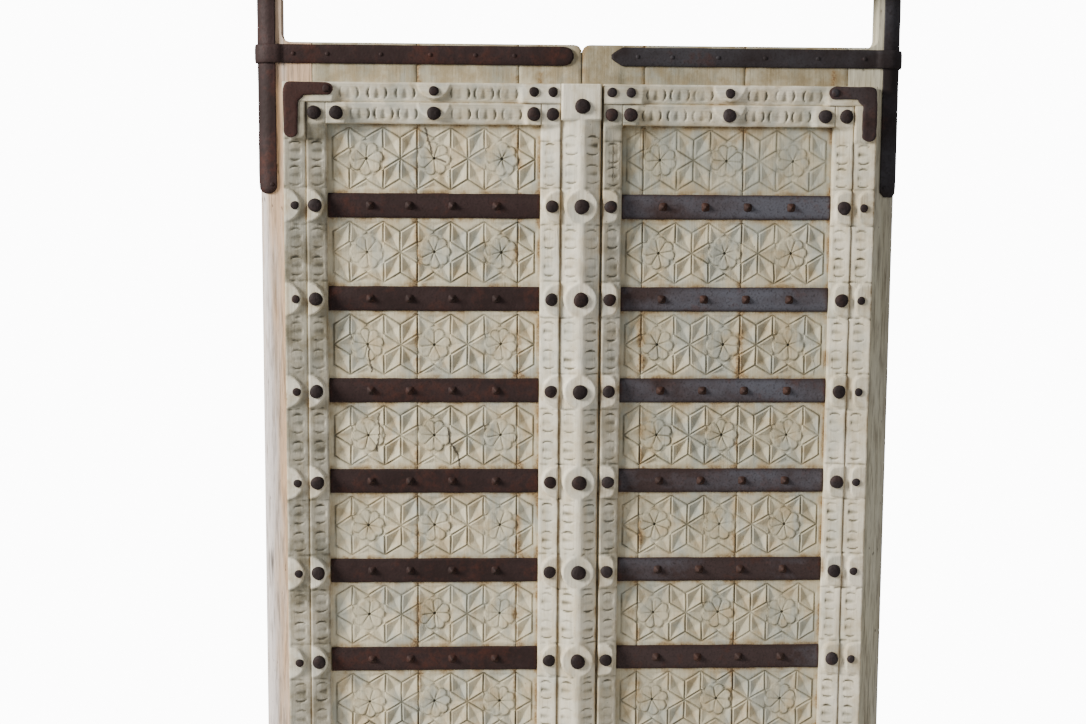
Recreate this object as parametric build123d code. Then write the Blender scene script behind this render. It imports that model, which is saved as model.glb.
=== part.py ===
from build123d import *
import os
from math import cos, radians, sin

# A pair of pivot-hung plank leaves, carved with stars and bound with iron,
# held between a threshold and a head beam.
# Millimetres. X runs along the wall, Y goes from the carved front to the back, Z is up.
# The origin is on the floor under the middle of the threshold, on the plane of the pivots.

# Leaf, across, from the round outer edge of the stile to the meeting line
LEAF_WIDTH = 612.0
MEETING_GAP = 6.0
STILE_WIDTH = 100.0
STILE_THICK = 48.0
PLAIN_MARGIN = 48.0
OUTER_STRIP_WIDTH = 41.0
STRIP_GAP = 2.0
INNER_STRIP_WIDTH = 37.0
ASTRAGAL_WIDTH = 72.0
ASTRAGAL_CLEARANCE = 5.0

# Leaf, upwards
PANEL_ROWS = 9
PANEL_HEIGHT = 130.0
BAND_HEIGHT = 48.0
INNER_RAIL_HEIGHT = 40.0
OUTER_RAIL_HEIGHT = 37.0
PLAIN_END = 75.0

# Planks and the ledges behind them
BOARD_THICK = 28.0
BOARD_CORNER = 14.0
LEDGE_HEIGHT = 56.0
LEDGE_SETBACK = 24.0

# Star carving
STARS_PER_PANEL = 3
STAR_SIDE_MARGIN = 10.0
STAR_END_MARGIN = 9.0
RIDGE_SINK = 1.0
POINT_SINK = 5.0
RHOMB_SINK = 7.0
PETAL_SINK = 4.5
CARVE_OVERRUN = 2.0

# Plank joints: a star counted from the stile, and how far from its centre as a share of its radius
JOINT_SHARES = ((1, -0.5), (2, 0.5))

# Mouldings: how far they stand out at the high edge and at the low edge
OUTER_HIGH = 26.0
OUTER_LOW = 14.0
INNER_HIGH = 22.0
INNER_LOW = 10.0
PAD_RADIUS = 31.0
PAD_SIDES = 8
RIDGE_HIGH = 30.0
RIDGE_EDGE = 11.0
RIDGE_FLAT = 8.0
RIDGE_DISC = 32.0
DISC_SIDES = 12
RIDGE_BLOCK = 62.0
OVERLAP_CLEARANCE = 1.5

# Iron bands with pyramid studs
BAND_THICK = 5.0
BAND_CHAMFER = 1.5
BAND_END_GAP = 1.0
LEFT_STUD_SHARES = (0.2, 0.384, 0.586, 0.794)
RIGHT_STUD_SHARES = (0.19, 0.398, 0.6, 0.802)
STUD_WIDTH = 17.0
STUD_HEIGHT = 10.0

# Bosses
BOSS_SIDES = 6
BOSS_WAIST_SHARE = 0.72
BOSS_SHOULDER_SHARE = 0.68
BOSS_RISE_SHARE = 0.62
INNER_BOSS = 14.0
MEETING_BOSS = 13.0
OUTER_BOSS = 8.5
RAIL_BOSS = 10.0
ASTRAGAL_BOSS = 15.5
INNER_BOSS_INSET = 15.0
RAIL_NEAR_INSET = 19.0
RAIL_FAR_INSET = 14.0

# Hinge straps with their collars, and the sheaths on the noses of the stiles
STRAP_HEIGHT = 36.0
STRAP_THICK = 5.0
STRAP_FROM_END = 4.0
STRAP_TIP = 22.0
STRAP_TIP_SHARE = 0.3
LEFT_STRAP_GAP = 16.0
RIGHT_STRAP_GAP = 56.0
STRAP_BACK_GAP = 8.0
STRAP_JOGGLE = 8.0
SHEATH_THICK = 4.0
SHEATH_FLAT = 9.0
SHEATH_BELOW = 285.0
SHEATH_STOP = 8.0
IRON_FIT = 0.2
NAIL_WIDTH = 9.0
NAIL_HEIGHT = 3.0
STRAP_NAIL_SHARES = (0.1, 0.25, 0.4, 0.55, 0.7, 0.85)

# Corner plates
PLATE_THICK = 3.0
PLATE_ACROSS = 94.0
PLATE_DOWN = 104.0
PLATE_ARM_HEIGHT = 25.0
PLATE_ARM_WIDTH = 29.0
PLATE_CHAMFER = 6.0
RIVET_INSET = 12.0

# Pivots, threshold and head beam
POST_WIDTH = 44.0
POST_FILLET = 16.0
JOURNAL_RADIUS = 20.0
JOURNAL_FIT = 0.4
HEAD_SPACE = 120.0
HEAD_SOCKET = 62.0
PIVOT_PLAY = 4.0
SILL_CLEARANCE = 14.0
SILL_SOCKET = 45.0
SEAT_GAP = 0.3
THRESHOLD_HEIGHT = 70.0
BEAM_HEIGHT = 100.0
BEAM_DEPTH = 130.0
BEAM_END = 100.0
BEAM_CHAMFER = 6.0

# Lines across the leaf
FRONT = STILE_THICK / 2
PIVOT_X = FRONT - LEAF_WIDTH
OUTER_STRIP = (PLAIN_MARGIN, PLAIN_MARGIN + OUTER_STRIP_WIDTH)
INNER_STRIP_START = OUTER_STRIP[1] + STRIP_GAP
INNER_STRIP = (INNER_STRIP_START, INNER_STRIP_START + INNER_STRIP_WIDTH)
MEETING_STRIP_END = LEAF_WIDTH - ASTRAGAL_WIDTH / 2 - ASTRAGAL_CLEARANCE
MEETING_STRIP = (MEETING_STRIP_END - INNER_STRIP_WIDTH, MEETING_STRIP_END)
PANEL = (INNER_STRIP[1], MEETING_STRIP[0])
BOARDS_END = LEAF_WIDTH - MEETING_GAP / 2

# Levels
ROW_PITCH = PANEL_HEIGHT + BAND_HEIGHT
LEAF_BOTTOM = THRESHOLD_HEIGHT + SILL_CLEARANCE
FRAME_BOTTOM = LEAF_BOTTOM + PLAIN_END
INNER_FRAME_BOTTOM = FRAME_BOTTOM + OUTER_RAIL_HEIGHT
FIELD_BOTTOM = INNER_FRAME_BOTTOM + INNER_RAIL_HEIGHT
FIELD_TOP = FIELD_BOTTOM + PANEL_ROWS * ROW_PITCH - BAND_HEIGHT
INNER_FRAME_TOP = FIELD_TOP + INNER_RAIL_HEIGHT
FRAME_TOP = INNER_FRAME_TOP + OUTER_RAIL_HEIGHT
LEAF_TOP = FRAME_TOP + PLAIN_END
BEAM_BOTTOM = LEAF_TOP + HEAD_SPACE
BEAM_LENGTH = 2 * (LEAF_WIDTH + BEAM_END)
PANEL_CENTRES = [FIELD_BOTTOM + PANEL_HEIGHT / 2 + row * ROW_PITCH for row in range(PANEL_ROWS)]
BAND_CENTRES = [level + ROW_PITCH / 2 for level in PANEL_CENTRES[:-1]]
TOP_RAIL_LEVEL = INNER_FRAME_TOP - INNER_RAIL_HEIGHT / 2
BOSS_LEVELS = BAND_CENTRES + [TOP_RAIL_LEVEL]
UPRIGHT = (Align.CENTER, Align.CENTER, Align.MIN)


def across(inset):
    """X of a line the given distance in from the outer edge of the left leaf."""
    return inset - LEAF_WIDTH


def block(low, high):
    """Box between two opposite corners."""
    sizes = [top - bottom for bottom, top in zip(low, high)]
    return Pos(*low) * Box(*sizes, align=(Align.MIN, Align.MIN, Align.MIN))


def front_sheet(standing_out):
    """Plane facing the viewer, the given distance in front of the planks."""
    return Plane.XZ.offset(FRONT + standing_out)


def middle(span):
    """Middle of a pair of insets."""
    return (span[0] + span[1]) / 2


def prism_up(points, low, high):
    """Upright prism over an outline in X and Y."""
    return Pos(0, 0, low) * extrude(Polygon(*points, align=None), high - low, dir=(0, 0, 1))


def prism_along(points, start, end):
    """Prism along X over an outline in Y and Z."""
    outline = Plane.YZ.offset(start) * Polygon(*points, align=None)
    return extrude(outline, end - start, dir=(1, 0, 0))


def plate_out(outline, standing_out, thick):
    """Front-facing outline in X and Z, made a plate that stands out from the planks."""
    return extrude(front_sheet(standing_out) * outline, thick, dir=(0, -1, 0))


def join(shapes):
    """One solid from several that meet."""
    return shapes[0].fuse(*shapes[1:]).clean()


# Star carving: one cutter for a whole panel, its floor folded into pits between ridges

STAR_RADIUS = (PANEL[1] - PANEL[0] - 2 * STAR_SIDE_MARGIN) / (2 * STARS_PER_PANEL)
STAR_HALF_HEIGHT = PANEL_HEIGHT / 2 - STAR_END_MARGIN
RIDGE_Y = RIDGE_SINK - FRONT
HOLLOW_SHARE = 1 / (2 * cos(radians(30)))


def star_point(middle_x, angle, share):
    """Ridge point at an angle round a star, at a share of the star's radius."""
    x = middle_x + STAR_RADIUS * share * cos(radians(angle))
    z = STAR_HALF_HEIGHT * share * sin(radians(angle)) / sin(radians(60))
    return (x, RIDGE_Y, z)


def flat_face(points):
    """Flat face over a loop of points."""
    return Face(Wire.make_polygon(points, close=True))


def pit(points, sink):
    """Faces that fall from each edge of a loop to one low point in its middle."""
    low = [sum(values) / len(points) for values in zip(*points)]
    low[1] += sink
    following = points[1:] + points[:1]
    return [flat_face([first, second, tuple(low)]) for first, second in zip(points, following)]


def star_faces(middle_x):
    """Carved faces of one star with the rhombs and corners round it."""
    tips = [star_point(middle_x, 60 * turn, 1) for turn in range(6)]
    hollows = [star_point(middle_x, 60 * turn + 30, HOLLOW_SHARE) for turn in range(6)]
    centre = star_point(middle_x, 0, 0)
    faces = []
    for turn in range(6):
        faces += pit([tips[turn], hollows[turn], hollows[turn - 1]], POINT_SINK)
        faces += pit([centre, hollows[turn - 1], hollows[turn]], PETAL_SINK)
    faces += pit([tips[1], hollows[1], tips[2]], POINT_SINK)
    faces += pit([tips[4], hollows[4], tips[5]], POINT_SINK)
    for side, upper, hollow in ((0, 1, 0), (3, 2, 2), (3, 4, 3), (0, 5, 5)):
        bar_end = (tips[side][0], RIDGE_Y, hollows[1 if upper < 3 else 4][2])
        corner = (tips[side][0], RIDGE_Y, tips[upper][2])
        faces += pit([tips[side], hollows[hollow], tips[upper], bar_end], RHOMB_SINK)
        faces.append(flat_face([bar_end, tips[upper], corner]))
    return faces


def panel_cutter():
    """Solid that carves one panel, centred on the panel."""
    half_width = STARS_PER_PANEL * STAR_RADIUS
    cover_y = -FRONT - CARVE_OVERRUN
    middles = [(2 * star + 1) * STAR_RADIUS - half_width for star in range(STARS_PER_PANEL)]
    faces = []
    for middle_x in middles:
        faces += star_faces(middle_x)
    bar_z = STAR_HALF_HEIGHT * HOLLOW_SHARE / sin(radians(60))
    for edge_z in (STAR_HALF_HEIGHT, -STAR_HALF_HEIGHT):
        steps = [-half_width]
        for middle_x in middles:
            steps += [middle_x - STAR_RADIUS / 2, middle_x + STAR_RADIUS / 2, middle_x + STAR_RADIUS]
        edge = [(x, RIDGE_Y, edge_z) for x in steps]
        faces.append(flat_face(edge + [(half_width, cover_y, edge_z), (-half_width, cover_y, edge_z)]))
    for edge_x in (half_width, -half_width):
        heights = (-STAR_HALF_HEIGHT, -bar_z, 0, bar_z, STAR_HALF_HEIGHT)
        edge = [(edge_x, RIDGE_Y, z) for z in heights]
        cover = [(edge_x, cover_y, STAR_HALF_HEIGHT), (edge_x, cover_y, -STAR_HALF_HEIGHT)]
        faces.append(flat_face(edge + cover))
    corners = [(-half_width, -STAR_HALF_HEIGHT), (half_width, -STAR_HALF_HEIGHT)]
    corners += [(half_width, STAR_HALF_HEIGHT), (-half_width, STAR_HALF_HEIGHT)]
    faces.append(flat_face([(x, cover_y, z) for x, z in corners]))
    return Solid(Shell(faces))


CUTTER = panel_cutter()
PANEL_CUTTERS = [Pos(across(middle(PANEL)), 0, level) * CUTTER for level in PANEL_CENTRES]


def board(start, end, corner):
    """One plank of the left leaf with its share of the carving."""
    low = (across(start), -FRONT, LEAF_BOTTOM)
    high = (across(end), BOARD_THICK - FRONT, LEAF_TOP)
    plank = block(low, high)
    if corner:
        edges = plank.edges().filter_by(Axis.Y).group_by(Axis.X)[-1]
        plank = fillet(edges, BOARD_CORNER)
    return plank.cut(*PANEL_CUTTERS)


def boards():
    """The planks of a leaf, from the stile to the meeting line."""
    first_star = PANEL[0] + STAR_SIDE_MARGIN + STAR_RADIUS
    joints = [first_star + (2 * star + share) * STAR_RADIUS for star, share in JOINT_SHARES]
    lines = [STILE_WIDTH] + joints + [BOARDS_END]
    return [board(start, end, end == BOARDS_END) for start, end in zip(lines, lines[1:])]


# Stile with its pivots, and the ledges behind the planks

def nose_outline(width):
    """Section of the stile: a half-round nose on a rectangle of the given full width."""
    nose = Pos(PIVOT_X, 0) * Circle(FRONT)
    flat = Pos(PIVOT_X, 0) * Rectangle(width - FRONT, STILE_THICK, align=(Align.MIN, Align.CENTER))
    return nose + flat


def journal(bottom, top):
    """Turned end of the stile."""
    return Pos(PIVOT_X, 0, bottom) * Cylinder(JOURNAL_RADIUS, top - bottom, align=UPRIGHT)


def stile():
    """Hanging stile with the post above it and a journal at each end."""
    body = Pos(0, 0, LEAF_BOTTOM) * extrude(nose_outline(STILE_WIDTH), LEAF_TOP - LEAF_BOTTOM)
    post_top = BEAM_BOTTOM - SHEATH_STOP
    post = Pos(0, 0, LEAF_TOP) * extrude(nose_outline(POST_WIDTH), post_top - LEAF_TOP)
    root = block((across(POST_WIDTH), -FRONT, LEAF_TOP),
                 (across(POST_WIDTH + POST_FILLET), FRONT, LEAF_TOP + POST_FILLET))
    scoop = Plane.XZ * Pos(across(POST_WIDTH + POST_FILLET), LEAF_TOP + POST_FILLET) * Circle(POST_FILLET)
    root -= extrude(scoop, STILE_THICK, both=True)
    upper = journal(post_top, BEAM_BOTTOM + HEAD_SOCKET - PIVOT_PLAY)
    lower = journal(THRESHOLD_HEIGHT - SILL_SOCKET + SEAT_GAP, LEAF_BOTTOM)
    return join([body, post, root, upper, lower])


def ledge(level):
    """Batten across the back of the planks, against the stile."""
    half = LEDGE_HEIGHT / 2
    low = (across(STILE_WIDTH), BOARD_THICK - FRONT, level - half)
    high = (across(BOARDS_END - LEDGE_SETBACK), FRONT, level + half)
    return block(low, high)


# Mouldings

def pad(inset, level, radius, high):
    """Flat pad that a boss sits on, before it is trimmed to its moulding."""
    outline = Pos(across(inset), level) * RegularPolygon(radius, PAD_SIDES)
    return plate_out(outline, 0, high)


def strip(span, high_first, high, low, head):
    """Upright moulding that slopes from one edge to the other, with pads on its high edge and a flat head."""
    high_at, low_at = span if high_first else (span[1], span[0])
    bottom, top = INNER_FRAME_BOTTOM, INNER_FRAME_TOP
    points = [(across(high_at), -FRONT), (across(high_at), -FRONT - high),
              (across(low_at), -FRONT - low), (across(low_at), -FRONT)]
    left, right, front = across(span[0]), across(span[1]), -FRONT - high
    room = block((left, front, bottom), (right, -FRONT, top))
    pieces = [prism_up(points, bottom, top)]
    pieces += [pad(high_at, level, PAD_RADIUS, high) & room for level in BAND_CENTRES]
    pieces.append(block((left, front, top - head), (right, -FRONT, top)))
    return join(pieces)


def rail(span, bottom, top, high, low):
    """Level moulding that slopes down from its top edge."""
    points = [(-FRONT, top), (-FRONT - high, top), (-FRONT - low, bottom), (-FRONT, bottom)]
    return prism_along(points, across(span[0]), across(span[1]))


def top_rail(span, bottom, top, high, low, ends):
    """Level moulding with flat ends and a pad in the middle."""
    left, right, front = across(span[0]), across(span[1]), -FRONT - high
    room = block((left, front, bottom), (right, -FRONT, top))
    pieces = [rail(span, bottom, top, high, low)]
    pieces.append(pad(middle(PANEL), top, PAD_RADIUS, high) & room)
    pieces.append(block((left, front, bottom), (left + ends[0], -FRONT, top)))
    pieces.append(block((right - ends[1], front, bottom), (right, -FRONT, top)))
    return join(pieces)


def astragal():
    """Ridged cover strip on the left leaf, lapping over the right one."""
    half, flat, base = ASTRAGAL_WIDTH / 2, RIDGE_FLAT / 2, -FRONT
    points = [(-half, base), (-half, base - RIDGE_EDGE), (-flat, base - RIDGE_HIGH),
              (flat, base - RIDGE_HIGH), (half, base - RIDGE_EDGE), (half, base)]
    pieces = [prism_up(points, FRAME_BOTTOM, FRAME_TOP)]
    for level in BAND_CENTRES:
        pieces.append(plate_out(Pos(0, level) * RegularPolygon(RIDGE_DISC, DISC_SIDES), 0, RIDGE_HIGH))
    pieces.append(block((-half, base - RIDGE_HIGH, FRAME_TOP - RIDGE_BLOCK), (half, base, FRAME_TOP)))
    lap = block((-MEETING_GAP / 2, base - OVERLAP_CLEARANCE, LEAF_BOTTOM), (ASTRAGAL_WIDTH, 0, LEAF_TOP))
    return join(pieces) - lap


# Ironwork

def band(level):
    """Flat band with eased long edges, over the planks between two panels."""
    half, back, front = BAND_HEIGHT / 2, -FRONT, -FRONT - BAND_THICK
    eased, shoulder = half - BAND_CHAMFER, front + BAND_CHAMFER
    points = [(back, level - half), (shoulder, level - half), (front, level - eased),
              (front, level + eased), (shoulder, level + half), (back, level + half)]
    return prism_along(points, across(PANEL[0] + BAND_END_GAP), across(PANEL[1] - BAND_END_GAP))


def pointed(outline, height):
    """Low pointed head over an outline, standing out from the plane of the pivots."""
    return loft([Plane.XZ * outline, Vertex(0, -height, 0)], ruled=True)


def boss_ring(radius, rise):
    """Corners of a boss at one height."""
    angles = [radians(360 * side / BOSS_SIDES) for side in range(BOSS_SIDES)]
    return [(radius * cos(angle), -rise, radius * sin(angle)) for angle in angles]


def dome(radius):
    """Hammered boss: a ring of steep flats under a blunt point."""
    rise = radius * BOSS_RISE_SHARE
    base = boss_ring(radius, 0)
    shoulder = boss_ring(radius * BOSS_WAIST_SHARE, rise * BOSS_SHOULDER_SHARE)
    faces = [flat_face(base)]
    for side in range(BOSS_SIDES):
        faces.append(flat_face([base[side - 1], base[side], shoulder[side], shoulder[side - 1]]))
        faces.append(flat_face([shoulder[side - 1], shoulder[side], (0, -rise, 0)]))
    return Solid(Shell(faces))


def on_front(shape, inset, standing_out, level):
    """Head moved onto a surface that stands out from the planks."""
    return Pos(across(inset), -FRONT - standing_out, level) * shape


def wrap_outline(front_end, back_end):
    """Section of a strap bent round the sheath on the nose of the stile, then stepping down to the wood."""
    inner = FRONT + SHEATH_THICK + IRON_FIT
    thick, outer = STRAP_THICK, inner + STRAP_THICK
    step = PIVOT_X + SHEATH_FLAT + STRAP_JOGGLE / 2
    landing = step + STRAP_JOGGLE
    inside = [(front_end, -FRONT), (landing, -FRONT), (step, -inner), (PIVOT_X, -inner)]
    inside_back = [(PIVOT_X, inner), (step, inner), (landing, FRONT), (back_end, FRONT)]
    outside = [(back_end, FRONT + thick), (landing, FRONT + thick), (step, outer), (PIVOT_X, outer)]
    outside_front = [(PIVOT_X, -outer), (step, -outer),
                     (landing, -FRONT - thick), (front_end, -FRONT - thick)]
    edges = [Polyline(*inside)]
    edges.append(ThreePointArc(inside[-1], (PIVOT_X - inner, 0), inside_back[0]))
    edges.append(Polyline(*inside_back, *outside))
    edges.append(ThreePointArc(outside[-1], (PIVOT_X - outer, 0), outside_front[0]))
    edges.append(Polyline(*outside_front, inside[0]))
    return make_face(edges)


def strap_outline(start_inset, end_inset, level):
    """Front view of a hinge strap, narrowed to its free end."""
    half, tip = STRAP_HEIGHT / 2, STRAP_HEIGHT * STRAP_TIP_SHARE / 2
    far, near, end = across(start_inset), across(end_inset - STRAP_TIP), across(end_inset)
    points = [(far, level - half), (near, level - half), (end, level - tip),
              (end, level + tip), (near, level + half), (far, level + half)]
    return Polygon(*points, align=None)


def hinge_strap(level, end_inset):
    """Long strap on the front, round the post as a collar, with a short tail behind."""
    outline = wrap_outline(across(end_inset), across(STILE_WIDTH - STRAP_BACK_GAP))
    bent = Pos(0, 0, level - STRAP_HEIGHT / 2) * extrude(outline, STRAP_HEIGHT, dir=(0, 0, 1))
    room = extrude(Plane.XZ * strap_outline(-STILE_THICK, end_inset, level), STILE_THICK, both=True)
    return (bent & room).clean()


def sheath():
    """Upright iron plate bent round the nose of the stile and the post above it."""
    bottom, top = LEAF_TOP - SHEATH_BELOW, BEAM_BOTTOM - SHEATH_STOP
    inner, outer = FRONT, FRONT + SHEATH_THICK
    flat = PIVOT_X + SHEATH_FLAT
    edges = [Line((flat, -inner), (PIVOT_X, -inner))]
    edges.append(ThreePointArc((PIVOT_X, -inner), (PIVOT_X - inner, 0), (PIVOT_X, inner)))
    edges.append(Polyline((PIVOT_X, inner), (flat, inner), (flat, outer), (PIVOT_X, outer)))
    edges.append(ThreePointArc((PIVOT_X, outer), (PIVOT_X - outer, 0), (PIVOT_X, -outer)))
    edges.append(Polyline((PIVOT_X, -outer), (flat, -outer), (flat, -inner)))
    return Pos(0, 0, bottom) * extrude(make_face(edges), top - bottom, dir=(0, 0, 1))


def corner_plate():
    """L-shaped plate over the corner of the outer strip and the outer rail."""
    left, top, cut = across(PLAIN_MARGIN), FRAME_TOP, PLATE_CHAMFER
    inner, right = left + PLATE_ARM_WIDTH, left + PLATE_ACROSS
    arm, end = top - PLATE_ARM_HEIGHT, top - PLATE_DOWN
    points = [(left, top), (right - cut, top), (right, top - cut), (right, arm + cut), (right - cut, arm),
              (inner, arm), (inner, end + cut), (inner - cut, end), (left + cut, end), (left, end + cut)]
    return plate_out(Polygon(*points, align=None), OUTER_HIGH, PLATE_THICK)


def strap_nails(level, end_inset):
    """Heads along one hinge strap."""
    head = pointed(Rectangle(NAIL_WIDTH, NAIL_WIDTH), NAIL_HEIGHT)
    start = POST_WIDTH + NAIL_WIDTH
    reach = end_inset - start
    return [on_front(head, start + share * reach, STRAP_THICK, level) for share in STRAP_NAIL_SHARES]


def plate_rivet():
    """Rivet at the end of the corner plate's level arm."""
    inset = PLAIN_MARGIN + PLATE_ACROSS - RIVET_INSET
    level = FRAME_TOP - PLATE_ARM_HEIGHT / 2
    rivet = pointed(Rectangle(NAIL_WIDTH, NAIL_WIDTH), NAIL_HEIGHT)
    return on_front(rivet, inset, OUTER_HIGH + PLATE_THICK, level)


def strip_bosses():
    """Bosses on the strips and the top rails of one leaf."""
    heads = []
    small_boss = pointed(RegularPolygon(OUTER_BOSS, BOSS_SIDES), OUTER_BOSS * BOSS_RISE_SHARE)
    inner_inset, meeting_inset = INNER_STRIP[0] + INNER_BOSS_INSET, MEETING_STRIP[1] - INNER_BOSS_INSET
    for level in BOSS_LEVELS:
        heads.append(on_front(dome(INNER_BOSS), inner_inset, INNER_HIGH, level))
        heads.append(on_front(dome(MEETING_BOSS), meeting_inset, INNER_HIGH, level))
    for level in BAND_CENTRES:
        heads.append(on_front(small_boss, middle(OUTER_STRIP), OUTER_HIGH, level))
    near, half_way, far = PANEL[0] + RAIL_NEAR_INSET, middle(PANEL), PANEL[1] - RAIL_FAR_INSET
    for inset in (near, half_way, far):
        heads.append(on_front(dome(INNER_BOSS), inset, INNER_HIGH, TOP_RAIL_LEVEL))
    for inset in (half_way, far, meeting_inset):
        heads.append(on_front(dome(RAIL_BOSS), inset, OUTER_HIGH, FRAME_TOP - OUTER_RAIL_HEIGHT / 2))
    return heads


def astragal_bosses():
    """Bosses on the discs and the head of the astragal."""
    levels = BAND_CENTRES + [FRAME_TOP - RIDGE_BLOCK / 2]
    return [on_front(dome(ASTRAGAL_BOSS), LEAF_WIDTH, RIDGE_HIGH, level) for level in levels]


# Threshold and head beam

def long_block(bottom, top):
    """Timber along the wall with its upper long edges eased."""
    half, eased = BEAM_DEPTH / 2, BEAM_DEPTH / 2 - BEAM_CHAMFER
    points = [(-half, bottom), (half, bottom), (half, top - BEAM_CHAMFER), (eased, top),
              (-eased, top), (-half, top - BEAM_CHAMFER)]
    return prism_along(points, -BEAM_LENGTH / 2, BEAM_LENGTH / 2)


def socketed(timber, bottom, depth):
    """Timber with a socket for each leaf's journal."""
    socket = Pos(PIVOT_X, 0, bottom) * Cylinder(JOURNAL_RADIUS + JOURNAL_FIT, depth, align=UPRIGHT)
    return timber.cut(socket, mirror(socket, about=Plane.YZ))


# A whole leaf, as the left one

def leaf(stud_shares, strap_gap):
    """Every piece of a leaf by name."""
    strap_end = LEAF_WIDTH - strap_gap
    pieces = {"stile": [stile()]}
    for name, plank in zip(("board_outer", "board_middle", "board_inner"), boards()):
        pieces[name] = [plank]
    pieces["ledges"] = [ledge(level) for level in BAND_CENTRES]
    plate_end = PLATE_DOWN - OUTER_RAIL_HEIGHT
    pieces["outer_strip"] = [strip(OUTER_STRIP, True, OUTER_HIGH, OUTER_LOW, plate_end)]
    pieces["inner_strip"] = [strip(INNER_STRIP, True, INNER_HIGH, INNER_LOW, INNER_RAIL_HEIGHT)]
    pieces["meeting_strip"] = [strip(MEETING_STRIP, False, INNER_HIGH, INNER_LOW, INNER_RAIL_HEIGHT)]
    outer_span = (OUTER_STRIP[0], MEETING_STRIP[1])
    pieces["top_outer_rail"] = [top_rail(outer_span, INNER_FRAME_TOP, FRAME_TOP, OUTER_HIGH, OUTER_LOW,
                                         (PLATE_ACROSS, 2 * INNER_STRIP_WIDTH))]
    pieces["top_inner_rail"] = [top_rail(PANEL, FIELD_TOP, INNER_FRAME_TOP, INNER_HIGH, INNER_LOW,
                                         (2 * RAIL_NEAR_INSET, 2 * RAIL_FAR_INSET))]
    pieces["bottom_outer_rail"] = [rail(outer_span, FRAME_BOTTOM, INNER_FRAME_BOTTOM, OUTER_HIGH, OUTER_LOW)]
    pieces["bottom_inner_rail"] = [rail(PANEL, INNER_FRAME_BOTTOM, FIELD_BOTTOM, INNER_HIGH, INNER_LOW)]
    for place, level in enumerate(reversed(BAND_CENTRES), start=1):
        pieces[f"band_{place}"] = [band(level)]
    stud = pointed(Rectangle(STUD_WIDTH, STUD_WIDTH), STUD_HEIGHT)
    reach = PANEL[1] - PANEL[0]
    pieces["band_studs"] = [on_front(stud, PANEL[0] + share * reach, BAND_THICK, level)
                            for level in BAND_CENTRES for share in stud_shares]
    top_strap = LEAF_TOP - STRAP_FROM_END - STRAP_HEIGHT / 2
    bottom_strap = LEAF_BOTTOM + STRAP_FROM_END + STRAP_HEIGHT / 2
    pieces["top_hinge_strap"] = [hinge_strap(top_strap, strap_end)]
    bottom_outline = strap_outline(FRONT, strap_end, bottom_strap)
    pieces["bottom_strap"] = [plate_out(bottom_outline, 0, STRAP_THICK)]
    pieces["pivot_sheath"] = [sheath()]
    pieces["corner_plate"] = [corner_plate()]
    pieces["nails"] = strap_nails(top_strap, strap_end) + strap_nails(bottom_strap, strap_end)
    pieces["nails"].append(plate_rivet())
    pieces["bosses"] = strip_bosses()
    return pieces


def save(name, shapes):
    """Write one node."""
    solids = [solid for shape in shapes for solid in shape.solids()]
    export_step(Compound(children=solids), f"parts/{name}.step")


os.makedirs("parts", exist_ok=True)
left_leaf = leaf(LEFT_STUD_SHARES, LEFT_STRAP_GAP)
left_leaf["astragal"] = [astragal()]
left_leaf["bosses"] += astragal_bosses()
for name, shapes in left_leaf.items():
    save(f"left_{name}", shapes)
for name, shapes in leaf(RIGHT_STUD_SHARES, RIGHT_STRAP_GAP).items():
    save(f"right_{name}", [mirror(shape, about=Plane.YZ) for shape in shapes])
sill = long_block(0, THRESHOLD_HEIGHT)
save("threshold", [socketed(sill, THRESHOLD_HEIGHT - SILL_SOCKET, SILL_SOCKET)])
head = long_block(BEAM_BOTTOM, BEAM_BOTTOM + BEAM_HEIGHT)
save("head_beam", [socketed(head, BEAM_BOTTOM, HEAD_SOCKET)])
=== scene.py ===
# %% [markdown]
# # A carved double door on pivots
# The door is two leaves of upright planks. Each plank face is chip carved with rows of six-pointed stars,
# bevelled mouldings frame the field, and flat iron bands with pyramid studs cross it between the rows.
# The solids come packed from the CAD model, and they fix every size and joint. This script keeps their
# places and gives them the carving, the wear and the finishes that the solids leave out.

import bpy
import numpy as np
from mathutils import Matrix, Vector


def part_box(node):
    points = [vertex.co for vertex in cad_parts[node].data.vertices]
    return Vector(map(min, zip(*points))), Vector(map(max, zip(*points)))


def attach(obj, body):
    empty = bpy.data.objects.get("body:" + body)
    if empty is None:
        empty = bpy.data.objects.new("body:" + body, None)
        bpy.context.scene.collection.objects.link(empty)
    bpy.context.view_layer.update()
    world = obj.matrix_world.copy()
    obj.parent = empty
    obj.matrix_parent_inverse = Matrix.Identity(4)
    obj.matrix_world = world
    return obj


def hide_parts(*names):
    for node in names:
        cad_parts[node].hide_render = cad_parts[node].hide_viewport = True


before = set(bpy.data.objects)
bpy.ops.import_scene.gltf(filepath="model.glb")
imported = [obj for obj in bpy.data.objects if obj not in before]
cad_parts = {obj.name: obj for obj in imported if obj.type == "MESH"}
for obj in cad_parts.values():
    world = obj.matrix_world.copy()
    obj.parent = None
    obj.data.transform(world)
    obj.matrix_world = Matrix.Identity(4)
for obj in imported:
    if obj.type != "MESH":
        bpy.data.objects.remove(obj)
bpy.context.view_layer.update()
MM = 0.001

# %% [markdown]
# All shapes below are worked out in millimetres, as on the drawing, and turned into metres when a mesh is
# filled. The left leaf is drawn, and the right leaf is its mirror image with its own knots, dents and wear.
# A distance across a leaf is an inset, counted from the round outer edge towards the meeting line.

# %% Sizes read from the frame
def box_mm(node):
    """Lowest and highest corner of a CAD node, in millimetres."""
    low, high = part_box(node)
    return np.array(low) / MM, np.array(high) / MM


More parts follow.
